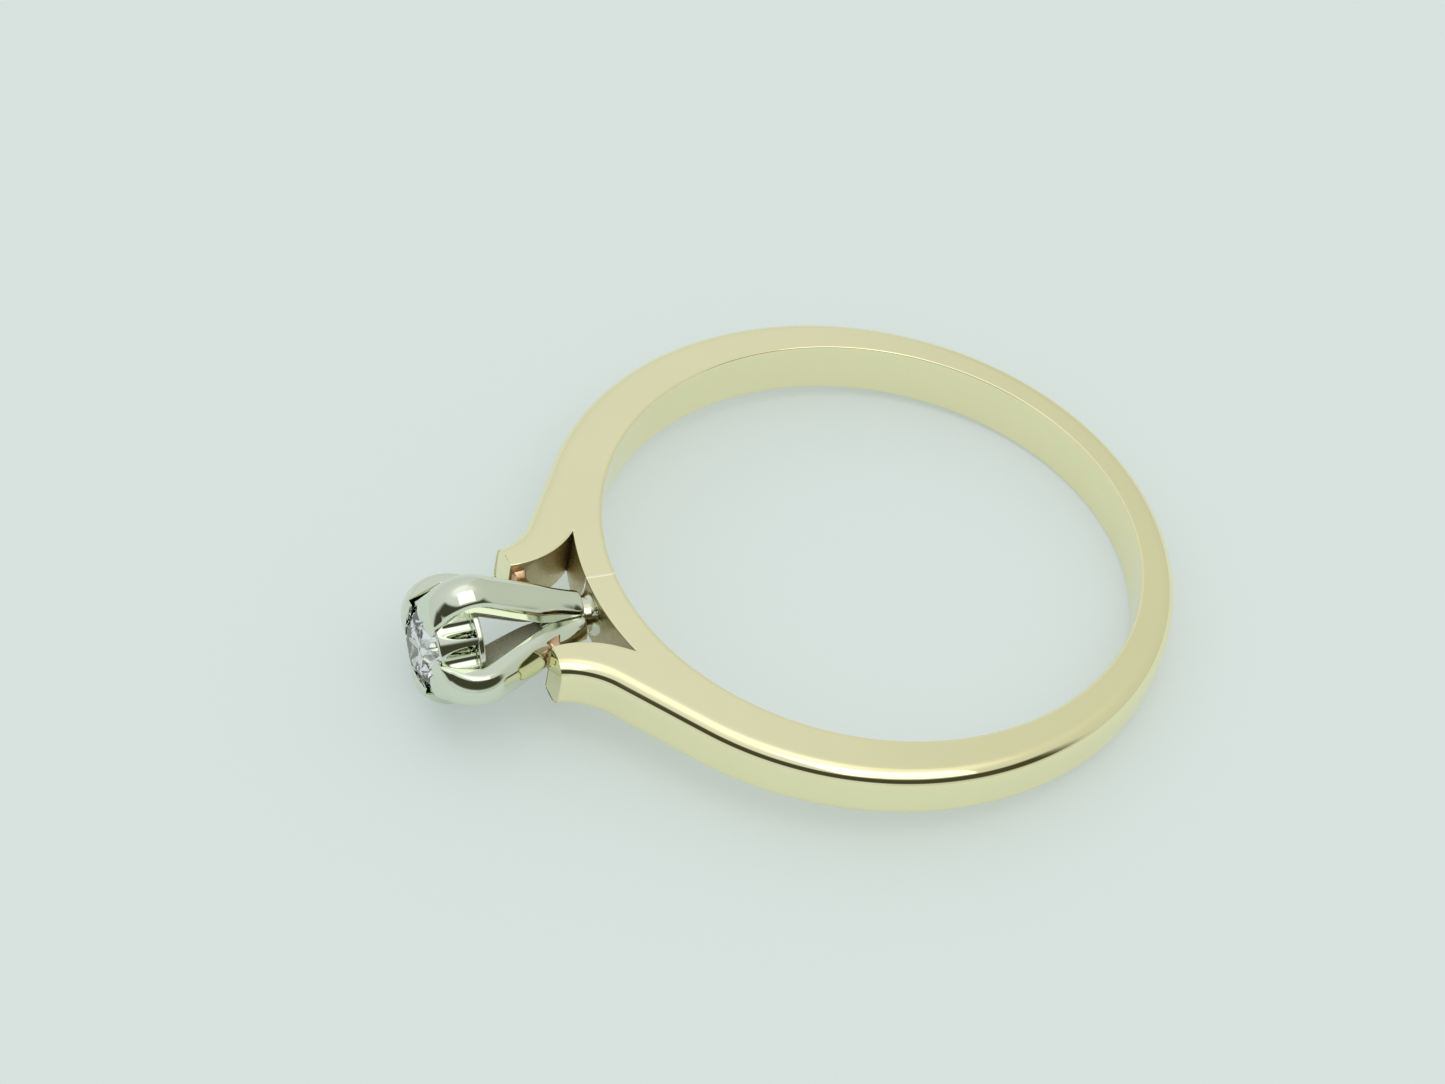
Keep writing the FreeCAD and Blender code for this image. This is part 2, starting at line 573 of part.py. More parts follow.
# ---- stone cup: cone-sided ring inside the claws, seat for the stone, fluted between claws ----
holder = new_body("stone_cup")
holder_sketch = new_sketch(holder, "cup_outline")
seat_x = size("stone_radius") + size("stone_gap")
hole = size("cup_hole")
ledge = -(GIRDLE_LOW - size("stone_gap"))
throat = ledge + (seat_x - hole) * SEAT_SLOPE
cup_points = [
    (hole, -CUP_BOTTOM), (CUP_EDGE, -CUP_BOTTOM), (RIM, -RIM_H),
    (seat_x, -RIM_H), (seat_x, ledge), (hole, throat),
]
cup_lines = [line(holder_sketch, cup_points[index], cup_points[(index + 1) % 6])
             for index in range(6)]
bottom, side_line, rim, wall, bearing, inner = cup_lines
join(holder_sketch, [(cup_lines[index], END, cup_lines[(index + 1) % 6], START)
                    for index in range(6)])
for flat in (bottom, rim):
    holder_sketch.addConstraint(Sketcher.Constraint("Horizontal", flat))
for upright in (wall, inner):
    holder_sketch.addConstraint(Sketcher.Constraint("Vertical", upright))
hold(holder_sketch, "DistanceX", (-1, START, bottom, END), CUP_EDGE, "edge", CUP_EDGE_WORDS)
hold(holder_sketch, "DistanceX", (-1, START, rim, START), RIM, "rim", RIM_WORDS)
hold(holder_sketch, "DistanceX", (-1, START, rim, END), seat_x, "seat",
     "Sizes.stone_radius + Sizes.stone_gap")
hold(holder_sketch, "DistanceX", (-1, START, inner, START), hole, "hole", "Sizes.cup_hole")
hold(holder_sketch, "DistanceY", (bottom, START, -1, START), CUP_BOTTOM, "underside",
     CUP_BOTTOM_WORDS)
hold(holder_sketch, "DistanceY", (rim, START, -1, START), RIM_H, "top", RIM_H_WORDS)
hold(holder_sketch, "DistanceY", (wall, END, -1, START), -ledge, "ledge",
     GIRDLE_TOP_WORDS + " - Sizes.girdle_height - Sizes.stone_gap")
hold(holder_sketch, "DistanceY", (inner, START, -1, START), -throat, "throat",
     GIRDLE_TOP_WORDS + " - Sizes.girdle_height - Sizes.stone_gap - (Sizes.stone_radius"
     " + Sizes.stone_gap - Sizes.cup_hole) * Sizes.pavilion_depth / Sizes.stone_radius")
revolve(holder, holder_sketch, "cup_turned")
checked("stone cup")
flutes = new_sketch(holder, "flute_circles", "XZ_Plane")
for number, side in enumerate((-1, 1)):
    angle = math.radians(45 + side * size("flute_spread"))
    reach = size("flute_reach")
    centre = (reach * math.cos(angle), reach * math.sin(angle))
    circle = Part.Circle(Vector(*centre, 0), Vector(0, 0, 1), size("flute_radius"))
    item = flutes.addGeometry(circle, False)
    sign = "+" if side > 0 else "-"
    turn = "(45 %s Sizes.flute_spread) * 1 deg" % sign
    hold(flutes, "DistanceX", (-1, START, item, CENTRE), centre[0], "flute_x_%d" % number,
         "Sizes.flute_reach * cos(%s)" % turn)
    hold(flutes, "DistanceY", (-1, START, item, CENTRE), centre[1], "flute_y_%d" % number,
         "Sizes.flute_reach * sin(%s)" % turn)
    hold(flutes, "Radius", (item,), size("flute_radius"), "flute_r_%d" % number,
         "Sizes.flute_radius")
fluting = holder.newObject("PartDesign::Pocket", "flute_cut")
fluting.Profile = flutes
fluting.Midplane = True
fluting.setExpression("Length", "2 * (" + CURL_START_WORDS + " + Sizes.claw_rise)")
holder.Tip = fluting
checked("flutes")
around = holder.newObject("PartDesign::PolarPattern", "flute_pattern")
around.Originals = [fluting]
around.Axis = (plane(holder, "Y_Axis"), [""])
around.Angle = 360
around.Occurrences = 4
holder.Tip = around
checked("flute pattern")

# ---- gallery rail: plain ring under the cup, just inside the claws ----
rail = new_body("gallery_rail")
rail_sketch = new_sketch(rail, "rail_outline")
rail_low = CUP_BOTTOM - size("rail_height")
rail_out = HALF_CORE + (rail_low - CORE_TOP) * INSIDE_SLOPE - size("rail_gap")
rail_in = rail_out - size("rail_thickness")
rail_corners = [(rail_in, -rail_low), (rail_out, -rail_low),
                (rail_out, -CUP_BOTTOM), (rail_in, -CUP_BOTTOM)]
RAIL_LOW_WORDS = "(" + CUP_BOTTOM_WORDS + " - Sizes.rail_height)"
RAIL_OUT_WORDS = ("(Sizes.core_width / 2 + (" + RAIL_LOW_WORDS + " - (" + CORE_TOP_WORDS
                  + ")) * " + INSIDE_SLOPE_WORDS + " - Sizes.rail_gap)")
rectangle(rail_sketch, rail_corners, box_words(
    rail_corners, RAIL_OUT_WORDS + " - Sizes.rail_thickness", RAIL_OUT_WORDS,
    RAIL_LOW_WORDS, CUP_BOTTOM_WORDS))
revolve(rail, rail_sketch, "rail_turned")
checked("gallery rail")

# ---- solder around the peg's foot: a ring of three-sided section ----
foot_ring = new_body("peg_solder")
foot_sketch = new_sketch(foot_ring, "peg_solder_outline")
peg = size("peg_radius")
foot_low = math.sqrt(BRIDGE ** 2 - (peg + size("fillet_spread")) ** 2)
foot_points = [(peg, -foot_low), (peg + size("fillet_spread"), -foot_low),
               (peg, -foot_low - size("fillet_height"))]
foot_edges = [line(foot_sketch, foot_points[index], foot_points[(index + 1) % 3])
              for index in range(3)]
join(foot_sketch, [(foot_edges[index], END, foot_edges[(index + 1) % 3], START)
                   for index in range(3)])
foot_sketch.addConstraint(Sketcher.Constraint("Horizontal", foot_edges[0]))
foot_sketch.addConstraint(Sketcher.Constraint("Vertical", foot_edges[2]))
FOOT_LOW_WORDS = ("sqrt((" + BRIDGE_WORDS + ") ^ 2 - (Sizes.peg_radius + "
                  "Sizes.fillet_spread) ^ 2)")
hold(foot_sketch, "DistanceX", (-1, START, foot_edges[0], START), peg, "peg", "Sizes.peg_radius")
hold(foot_sketch, "DistanceX", (-1, START, foot_edges[0], END), foot_points[1][0], "spread",
     "Sizes.peg_radius + Sizes.fillet_spread")
hold(foot_sketch, "DistanceY", (foot_edges[0], START, -1, START), foot_low, "low",
     FOOT_LOW_WORDS)
hold(foot_sketch, "DistanceY", (foot_edges[1], END, -1, START), foot_low
     + size("fillet_height"), "high", FOOT_LOW_WORDS + " + Sizes.fillet_height")
revolve(foot_ring, foot_sketch, "peg_solder_turned")
checked("peg solder")

# ---- solder between a side claw and its shoulder: from the claw's outside to the shoulder ----
OUTSIDE_SLOPE = CLAW_RUN / size("claw_rise")
OUTSIDE_SLOPE_WORDS = "(Sizes.claw_shoulder - Sizes.claw_foot) / Sizes.claw_rise"


def build_joint(name, turn):
    """Solder that fills the gap between one side claw and the shoulder next to it."""
    body = new_body(name)
    sketch = new_sketch(body, name + "_outline")
    high = ARM_END - size("joint_setback")
    low = ARM_END - size("joint_drop")
    claw_high = size("claw_foot") + (high - FOOT) * OUTSIDE_SLOPE
    claw_low = size("claw_foot") + (low - FOOT) * OUTSIDE_SLOPE
    points = [(claw_low, -low), (size("arm_gap"), -low), (size("arm_gap"), -high),
              (claw_high, -high)]
    edges = [line(sketch, points[index], points[(index + 1) % 4]) for index in range(4)]
    join(sketch, [(edges[index], END, edges[(index + 1) % 4], START) for index in range(4)])
    sketch.addConstraint(Sketcher.Constraint("Horizontal", edges[0]))
    sketch.addConstraint(Sketcher.Constraint("Horizontal", edges[2]))
    sketch.addConstraint(Sketcher.Constraint("Vertical", edges[1]))
    claw_words = "Sizes.claw_foot + (%s - (" + FOOT_WORDS + ")) * " + OUTSIDE_SLOPE_WORDS
    high_words = "(" + ARM_END_WORDS + " - Sizes.joint_setback)"
    low_words = "(" + ARM_END_WORDS + " - Sizes.joint_drop)"
    hold(sketch, "DistanceX", (-1, START, edges[0], START), claw_low, "claw_low",
         claw_words % low_words)
    hold(sketch, "DistanceX", (-1, START, edges[0], END), size("arm_gap"), "shoulder",
         "Sizes.arm_gap")
    hold(sketch, "DistanceX", (-1, START, edges[2], END), claw_high, "claw_high",
         claw_words % high_words)
    hold(sketch, "DistanceY", (edges[0], START, -1, START), low, "low", low_words)
    hold(sketch, "DistanceY", (edges[2], START, -1, START), high, "high", high_words)
    pad(body, sketch, name + "_pad", "Sizes.joint_width")
    body.Placement = Placement(Vector(0, 0, 0), Rotation(Vector(0, 1, 0), turn))
    checked(name)
    return body


joints = [build_joint("shoulder_solder_right", 0), build_joint("shoulder_solder_left", 180)]

# ---- stone: round brilliant, flat facets between points set by the girdle and the table ----
stone = doc.addObject("Part::Feature", "diamond")
stone.Label = "diamond"


def ring_point(radius, turn, height):
    """Point at a radius and turn about the head axis, height above the finger's axis."""
    return Vector(radius * math.cos(turn), -height, radius * math.sin(turn))


def brilliant():
    """Solid brilliant: table, stars, kites, upper and lower halves, girdle and pavilion mains."""
    girdle = size("stone_radius")
    table = girdle * size("table_ratio")
    table_h = GIRDLE_TOP + size("crown_height")
    culet_h = GIRDLE_LOW - size("pavilion_depth")
    crown_slope = size("crown_height") / (girdle - table)
    star = (table + girdle) / 2
    eighth = math.pi / 8
    star_h = table_h - (star * math.cos(eighth) - table) * crown_slope
    low_half = girdle * 0.24
    low_h = culet_h + low_half * math.cos(eighth) * size("pavilion_depth") / girdle
    culet = Vector(0, -culet_h, 0)
    faces = [[ring_point(table, 2 * index * eighth, table_h) for index in range(8)]]
    for index in range(8):
        main = 2 * index * eighth
        side = main + eighth
        back = main - eighth
        after = main + 2 * eighth
        top = ring_point(table, main, table_h)
        top_next = ring_point(table, after, table_h)
        star_here = ring_point(star, side, star_h)
        star_back = ring_point(star, back, star_h)
        high_main = ring_point(girdle, main, GIRDLE_TOP)
        high_side = ring_point(girdle, side, GIRDLE_TOP)
        high_after = ring_point(girdle, after, GIRDLE_TOP)
        low_main = ring_point(girdle, main, GIRDLE_LOW)
        low_side = ring_point(girdle, side, GIRDLE_LOW)
        low_after = ring_point(girdle, after, GIRDLE_LOW)
        under_here = ring_point(low_half, side, low_h)
        under_back = ring_point(low_half, back, low_h)
        faces.append([top, top_next, star_here])
        faces.append([top, star_here, high_main, star_back])
        faces.append([star_here, high_side, high_main])
        faces.append([star_here, high_after, high_side])
        faces.append([high_main, high_side, low_side, low_main])
        faces.append([high_side, high_after, low_after, low_side])
        faces.append([low_main, low_side, under_here])
        faces.append([low_side, low_after, under_here])
        faces.append([low_main, under_here, culet, under_back])
    made = []
    for corners in faces:
        made.append(Part.Face(Part.makePolygon(corners + [corners[0]])))
    shell = Part.makeShell(made)
    shell.sewShape()
    solid = Part.makeSolid(shell)
    if solid.Volume < 0:
        solid.reverse()
    return solid


stone.Shape = brilliant()
stone.Placement = Placement(Vector(0, 0, 0), Rotation(Vector(0, 1, 0), 22.5))
checked("stone")

# ---- write one file per sub-part ----
PARTS = [shank, seam, base, foot_ring, *claws, rail, holder, stone, *joints]
os.makedirs("parts", exist_ok=True)
for item in PARTS:
    shape = item.Shape
    if shape.isNull() or not shape.isValid() or len(shape.Solids) != 1 or shape.Volume <= 0:
        raise RuntimeError("bad solid: " + item.Label)
    shape.exportStep("parts/%s.step" % item.Label)
    box = shape.BoundBox
    print("%-22s %8.4f mm3  x %.2f..%.2f  y %.2f..%.2f  z %.2f..%.2f" % (
        item.Label, shape.Volume, box.XMin, box.XMax, box.YMin, box.YMax, box.ZMin, box.ZMax))
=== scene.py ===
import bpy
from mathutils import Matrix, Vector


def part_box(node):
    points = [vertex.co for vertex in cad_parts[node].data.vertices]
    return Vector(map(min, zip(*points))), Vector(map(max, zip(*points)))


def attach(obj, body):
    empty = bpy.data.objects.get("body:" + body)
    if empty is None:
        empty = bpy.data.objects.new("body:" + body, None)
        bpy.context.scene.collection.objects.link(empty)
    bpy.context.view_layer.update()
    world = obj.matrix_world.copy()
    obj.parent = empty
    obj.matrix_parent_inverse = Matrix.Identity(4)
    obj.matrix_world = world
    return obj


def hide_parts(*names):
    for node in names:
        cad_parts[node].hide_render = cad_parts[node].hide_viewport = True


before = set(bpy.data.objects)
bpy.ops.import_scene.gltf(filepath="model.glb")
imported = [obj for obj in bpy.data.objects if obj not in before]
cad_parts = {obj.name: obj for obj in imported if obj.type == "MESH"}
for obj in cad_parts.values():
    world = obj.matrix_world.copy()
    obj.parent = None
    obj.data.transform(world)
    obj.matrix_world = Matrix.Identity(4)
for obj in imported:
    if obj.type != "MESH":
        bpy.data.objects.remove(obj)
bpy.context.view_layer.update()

# Solitaire engagement ring: a yellow split-shoulder band, a white four-claw head, one brilliant.

import logging
import math
from dataclasses import dataclass, field
from enum import Enum

import bmesh
import bpy
import numpy as np
from mathutils import Matrix, Vector

logging.basicConfig(level=logging.INFO, format="%(message)s")
log = logging.getLogger("ring")

MM = 0.001
ROOT = "root"
MERGE_STEP = 2e-5
SOFT_ANGLE = math.radians(38.0)
QUARTER_TURN = math.pi / 2
FULL_TURN = 2 * math.pi
# A groove has about a third of its full depth at this share of the half width.
GROOVE_SPREAD = 0.22

Array = np.ndarray
Values = np.ndarray | float


class Metal(Enum):
    """Names of the record's material slots, one passed with each piece; nothing reads them."""

    GOLD = "yellow_gold"
    GOLD_SOLDER = "gold_solder"
    WHITE = "white_metal"
    WHITE_SOLDER = "white_solder"
    STONE = "stone"


# ---- surfaces


def placed(name: str, data: bpy.types.ID) -> bpy.types.Object:
    """Puts a mesh, lamp or camera into the scene as a new object."""
    made = bpy.data.objects.new(name, data)
    bpy.context.scene.collection.objects.link(made)
    return made


@dataclass
class Shell:
    """A surface gathered from point grids, in millimetres."""

    points: list = field(default_factory=list)
    faces: list = field(default_factory=list)
    count: int = 0

    def grid(self, rows: Array, close: bool = True) -> None:
        """Adds a grid of points as quads.

        Args:
            rows: Points of shape (stations, points round the section, 3).
            close: Whether the last point of each row joins the first.
        """
        stations, around, _ = rows.shape
        index = np.arange(stations * around).reshape(stations, around) + self.count
        after = np.roll(index, -1, axis=1) if close else index[:, 1:]
        here = index if close else index[:, :-1]
        quads = np.stack([here[:-1], after[:-1], after[1:], here[1:]], axis=-1)
        self.points.append(rows.reshape(-1, 3))
        self.faces.append(quads.reshape(-1, 4))
        self.count += stations * around

    def cap(self, loop: Array) -> None:
        """Closes a loop that is the same on both sides, with strips from each point to its twin.

        Args:
            loop: Points of shape (count, 3), where point i mirrors point count - i.
        """
        total = len(loop)
        half = total // 2
        near = np.arange(0, half)
        far = (total - near) % total
        quads = np.stack([near, near + 1, (total - near - 1) % total, far], axis=-1)
        self.points.append(loop)
        self.faces.append(quads + self.count)
        self.count += total

    def merged(self) -> tuple[Array, list]:
        """Joins points that share a place and drops faces that have closed up.

        Returns:
            The points in millimetres and the faces as lists of indices.
        """
        points = np.concatenate(self.points)
        faces = np.concatenate(self.faces)
        keys = np.round(points / MERGE_STEP).astype(np.int64)
        _, first, inverse = np.unique(keys, axis=0, return_index=True, return_inverse=True)
        faces = inverse.reshape(-1)[faces]
        same = faces == np.roll(faces, -1, axis=1)
        closed = same.sum(axis=1)
        folded = (faces[:, 0] == faces[:, 2]) | (faces[:, 1] == faces[:, 3])
        made = faces[(closed == 0) & ~folded].tolist()
        for corner in range(4):
            some = faces[same[:, corner] & (closed == 1) & ~folded]
            made += np.delete(some, corner, axis=1).tolist()
        return points[first], made

    def build(self, name: str) -> bpy.types.Object:
        """Writes the shell into a mesh object at the origin, in metres.

        Args:
            name: The piece's name.

        Returns:
            The new object, with its faces pointing outwards.
        """
        points, faces = self.merged()
        mesh = bpy.data.meshes.new(name)
        mesh.from_pydata((points * MM).tolist(), [], faces)
        work = bmesh.new()
        work.from_mesh(mesh)
        bmesh.ops.recalc_face_normals(work, faces=work.faces)
        work.to_mesh(mesh)
        work.free()
        mesh.shade_smooth()
        mesh.set_sharp_from_angle(angle=SOFT_ANGLE)
        return placed(name, mesh)

    @staticmethod
    def capped(name: str, rows: Array) -> bpy.types.Object:
        """Builds a grid whose two ends are closed.

        Args:
            name: The piece's name.
            rows: Points of shape (stations, points round the section, 3).

        Returns:
            The new object.
        """
        shell = Shell()
        shell.grid(rows)
        shell.cap(rows[0])
        shell.cap(rows[-1])
        return shell.build(name)


@dataclass
class Stations:
    """Cross-sections along a path, each a bent line from an inner to an outer point.

    The bent line runs from base along low for low_length, then along high for high_length.
    The section is that line given a width, with rounded inner and outer corners.
    """

    base: Array
    low: Array
    low_length: Array
    high: Array
    high_length: Array
    half: Array
    round_in: Array
    round_out: Array
    crown: Array
    groove: Array

    @staticmethod
    def between(inner: Array, outer: Array, half: Values, round_in: Values, round_out: Values,
                crown: Values, groove: Values = 0.0) -> "Stations":
        """Sections that are straight lines from each inner to each outer point.

        Args:
            inner: Inner points, shape (stations, 2).
            outer: Outer points, shape (stations, 2).
            half: Half the width of each section.
            round_in: Rounding of the two inner corners.
            round_out: Rounding of the two outer corners.
            crown: How much lower the outer face is at its sides than in the middle.
            groove: Depth of a groove down the middle of the outer face.

        Returns:
            The stations.
        """
        run = outer - inner
        length = np.linalg.norm(run, axis=1)
        zero = np.zeros(len(inner))
        return Stations(inner, run * 0, zero, run / length[:, None], length, half + zero,
                        round_in + zero, round_out + zero, crown + zero, groove + zero)

    def loops(self, rows_low: int, rows_high: int, rows_face: int = 12,
              rows_in: int = 4, rows_out: int = 10) -> Array:
        """Section loops: half of the outline is worked out and then mirrored across the width.

        Along the outline the depth s and the width w are: inner face s = 0; inner corner
        s = r - r cos a, w = half - r + r sin a; side w = half; outer corner
        s = end - r + r sin a, w = half - r + r cos a; outer face s = end; and the crown takes
        crown (w / half) squared off the outer part.

        Args:
            rows_low: Steps on the side along the low stretch, 0 where there is none.
            rows_high: Steps on the side along the high stretch.
            rows_face: Steps across each whole face.
            rows_in: Steps round an inner corner.
            rows_out: Steps round an outer corner.

        Returns:
            Points of shape (stations, around, 3) as (plane x, plane y, width).
        """
        columns = (self.half, self.round_in, self.round_out, self.crown, self.low_length,
                   self.high_length, self.groove)
        half, r_in, r_out, crown, low_end, high_run, groove = (v[:, None] for v in columns)
        end = low_end + high_run
        shelf = end - r_out - crown
        flat = np.arange(rows_face // 2 + 1) / (rows_face // 2)
        turn_in = np.arange(1, rows_in + 1) / rows_in * QUARTER_TURN
        turn_out = np.arange(1, rows_out + 1) / rows_out * QUARTER_TURN
        inner_w = (half - r_in) * flat
        depth = [inner_w * 0, r_in - r_in * np.cos(turn_in)]
        width = [inner_w, half - r_in + r_in * np.sin(turn_in)]
        start = r_in
        for steps, stop in ((rows_low, low_end), (rows_high, shelf)):
            if steps:
                part = np.arange(1, steps + 1) / steps
                depth.append(start + (stop - start) * part)
                width.append(half + 0 * part)
                start = stop
        corner_w = half - r_out + r_out * np.cos(turn_out)
        depth.append(end - r_out + r_out * np.sin(turn_out) - crown * (corner_w / half) ** 2)
        width.append(corner_w)
        outer_w = (half - r_out) * (1 - flat[1:])
        dip = groove * np.exp(-(outer_w / (GROOVE_SPREAD * half)) ** 2)
        depth.append(end - crown * (outer_w / half) ** 2 - dip)
        width.append(outer_w)
        depth, width = np.concatenate(depth, axis=1), np.concatenate(width, axis=1)
        depth = np.concatenate([depth, depth[:, -2:0:-1]], axis=1)
        width = np.concatenate([width, -width[:, -2:0:-1]], axis=1)
        near = np.clip(depth, 0, low_end)
        plane = (self.base[:, None] + self.low[:, None] * near[..., None]
                 + self.high[:, None] * (depth - near)[..., None])
        return np.concatenate([plane, width[..., None]], axis=2)


def arc_points(centre: Array, radius: float, start: Array, end: Array, share: Array) -> Array:
    """Points on the shorter arc from start to end: centre + radius (cos a, sin a).

    Args:
        centre: The arc's centre.
        radius: The arc's radius.
        start: Where the arc starts.
        end: Where the arc ends.
        share: Shares of the arc's length, from 0 to 1.

    Returns:
        Points of shape (shares, 2).
    """
    first = math.atan2(start[1] - centre[1], start[0] - centre[0])
    sweep = math.atan2(end[1] - centre[1], end[0] - centre[0]) - first
    sweep = (sweep + math.pi) % FULL_TURN - math.pi
    angle = first + sweep * share
    return np.stack([centre[0] + radius * np.cos(angle), centre[1] + radius * np.sin(angle)], -1)


def along_line(corners: Array, knots: Array, share: Array) -> Array:
    """Points along a line of corners, straight from each knot to the next.

    Args:
        corners: Corner points, shape (count, 2).
        knots: The share of the way at which each corner is reached.
        share: The shares wanted.

    Returns:
        Points of shape (shares, 2).
    """
    return np.stack([np.interp(share, knots, corners[:, axis]) for axis in range(2)], -1)


def softened(line: Array, reach: int) -> Array:
    """A line of evenly spaced points with its corners eased by a bell-weighted mean.

    Args:
        line: Values of shape (count, columns).
        reach: How many points the easing reaches to each side.

    Returns:
        Points of the same shape, with both ends where they were.
    """
    offset = np.arange(-reach, reach + 1)
    weight = np.exp(-(offset / (reach / 2)) ** 2)
    weight /= weight.sum()
    first = 2 * line[:1] - line[reach:0:-1]
    last = 2 * line[-1:] - line[-2:-reach - 2:-1]
    padded = np.concatenate([first, line, last])
    return np.stack([np.convolve(column, weight, "valid") for column in padded.T], -1)


def smooth_step(share: Array) -> Array:
    """Eases from 0 to 1: 3 s squared - 2 s cubed."""
    share = np.clip(share, 0.0, 1.0)
    return share * share * (3 - 2 * share)


def about_head(radius: Values, height: Values, turn: Array) -> Array:
    """Points round the head's axis: x = r cos a, y = -height, z = r sin a.

    Args:
        radius: Distances from the head's axis.
        height: Heights above the finger's axis.
        turn: Angles from +X towards +Z, in radians.

    Returns:
        Points, with a last axis of 3.
    """
    parts = (radius * np.cos(turn), -np.asarray(height), radius * np.sin(turn))
    return np.stack(np.broadcast_arrays(*parts), -1)


def face_vectors(mesh: bpy.types.Mesh, kind: str) -> Array:
    """The "center" or the "normal" of each face, as an array of shape (faces, 3)."""
    values = np.zeros(len(mesh.polygons) * 3)
    mesh.polygons.foreach_get(kind, values)
    return values.reshape(-1, 3)


def dress_faces(mesh: bpy.types.Mesh, chosen: Array, material: bpy.types.Material) -> None:
    """Gives the chosen faces of a mesh a second material."""
    mesh.materials.append(material)
    mesh.polygons.foreach_set("material_index", chosen.astype(np.int32))


def finish_piece(piece: bpy.types.Object, material: bpy.types.Material, metal: Metal,
                 *nodes: str) -> None:
    """Dresses a piece, hangs it on the part's one body and hides the CAD nodes it stands for.

    Args:
        piece: The piece.
        material: Its material.
        metal: Not used.
        nodes: The CAD nodes that it stands for.
    """
    piece.data.materials.clear()
    piece.data.materials.append(material)
    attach(piece, ROOT)
    if nodes:
        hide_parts(*nodes)
    log.info("%s: %d faces", piece.name, len(piece.data.polygons))


# ---- finishes


PATCH_SCALE = 420.0
RIPPLE_SCALE = 700.0
MARK_SCALE = 9000.0
MARK_MIDDLE = 0.45
MARK_HEIGHT = 0.15
LEAST_ROUGHNESS = 0.01
BUMP_DISTANCE = 1e-5


def fill(node: bpy.types.Node, values: dict) -> None:
    """Sets constants on a node's own sockets, by socket name."""
    for socket, value in values.items():
        node.inputs[socket].default_value = value


def new_material(name: str, values: dict) -> tuple[bpy.types.Material, bpy.types.Node]:
    """Makes a material whose shader holds some constants.

    Args:
        name: The material's name.
        values: The constants, by socket name.

    Returns:
        The material and its shader.
    """
    material = bpy.data.materials.new(name)
    material.use_nodes = True
    shader = material.node_tree.nodes["Principled BSDF"]
    fill(shader, values)
    return material, shader


def polish_group() -> bpy.types.NodeTree:
    """Builds the polished-metal wear: faint tint patches, hairline marks and a slow ripple.

    Returns:
        The node group, with Color, Roughness and Height outputs.
    """
    group = bpy.data.node_groups.new("polish_wear", "ShaderNodeTree")
    sockets = {"INPUT": ("Color", "Patch", "Roughness", "Marks", "Ripple"),
               "OUTPUT": ("Color", "Roughness", "Height")}
    for side, names in sockets.items():
        for name in names:
            kind = "NodeSocketColor" if name == "Color" else "NodeSocketFloat"
            group.interface.new_socket(name, in_out=side, socket_type=kind)
    nodes, links = group.nodes, group.links
    entry, leave = nodes.new("NodeGroupInput"), nodes.new("NodeGroupOutput")
    place = nodes.new("ShaderNodeTexCoord")

    def noise(scale: float, detail: float) -> bpy.types.NodeSocket:
        """The value of a new noise texture on Object coordinates, its scale per metre."""
        made = nodes.new("ShaderNodeTexNoise")
        fill(made, {"Scale": scale, "Detail": detail})
        links.new(place.outputs["Object"], made.inputs["Vector"])
        return made.outputs[0]

    def maths(kind: str, first: bpy.types.NodeSocket,
              second: bpy.types.NodeSocket | float) -> bpy.types.NodeSocket:
        """The result of a new maths node of a kind on two values."""
        made = nodes.new("ShaderNodeMath")
        made.operation = kind
        links.new(first, made.inputs[0])
        if isinstance(second, float):
            made.inputs[1].default_value = second
        else:
            links.new(second, made.inputs[1])
        return made.outputs[0]

    patch = maths("SUBTRACT", noise(PATCH_SCALE, 3.0), 0.5)
    shade = maths("MULTIPLY", patch, entry.outputs["Patch"])
    bright = nodes.new("ShaderNodeHueSaturation")
    links.new(entry.outputs["Color"], bright.inputs["Color"])
    links.new(maths("ADD", shade, 1.0), bright.inputs["Value"])
    links.new(bright.outputs[0], leave.inputs["Color"])
    fine = maths("SUBTRACT", noise(MARK_SCALE, 5.0), MARK_MIDDLE)
    marks = maths("MULTIPLY", fine, entry.outputs["Marks"])
    rough = maths("ADD", entry.outputs["Roughness"], marks)
    links.new(maths("MAXIMUM", rough, LEAST_ROUGHNESS), leave.inputs["Roughness"])
    slow = maths("MULTIPLY", noise(RIPPLE_SCALE, 1.0), entry.outputs["Ripple"])
    small = maths("MULTIPLY", marks, MARK_HEIGHT)
    links.new(maths("ADD", slow, small), leave.inputs["Height"])
    return group


@dataclass(frozen=True)
class PolishedMetal:
    """A polished precious metal with light wear."""

    name: str
    color: tuple
    roughness: float = 0.05
    patch: float = 0.05
    marks: float = 0.05
    ripple: float = 0.5

    def make(self, wear: bpy.types.NodeTree) -> bpy.types.Material:
        """Builds the material.

        Args:
            wear: The shared wear group.

        Returns:
            The material.
        """
        material, shader = new_material(self.name, {"Metallic": 1.0})
        nodes, links = material.node_tree.nodes, material.node_tree.links
        group = nodes.new("ShaderNodeGroup")
        group.node_tree = wear
        fill(group, {"Color": (*self.color, 1.0), "Patch": self.patch, "Marks": self.marks,
                     "Roughness": self.roughness, "Ripple": self.ripple})
        bump = nodes.new("ShaderNodeBump")
        fill(bump, {"Strength": 1.0, "Distance": BUMP_DISTANCE})
        links.new(group.outputs["Color"], shader.inputs["Base Color"])
        links.new(group.outputs["Roughness"], shader.inputs["Roughness"])
        links.new(group.outputs["Height"], bump.inputs["Height"])
        links.new(bump.outputs["Normal"], shader.inputs["Normal"])
        return material


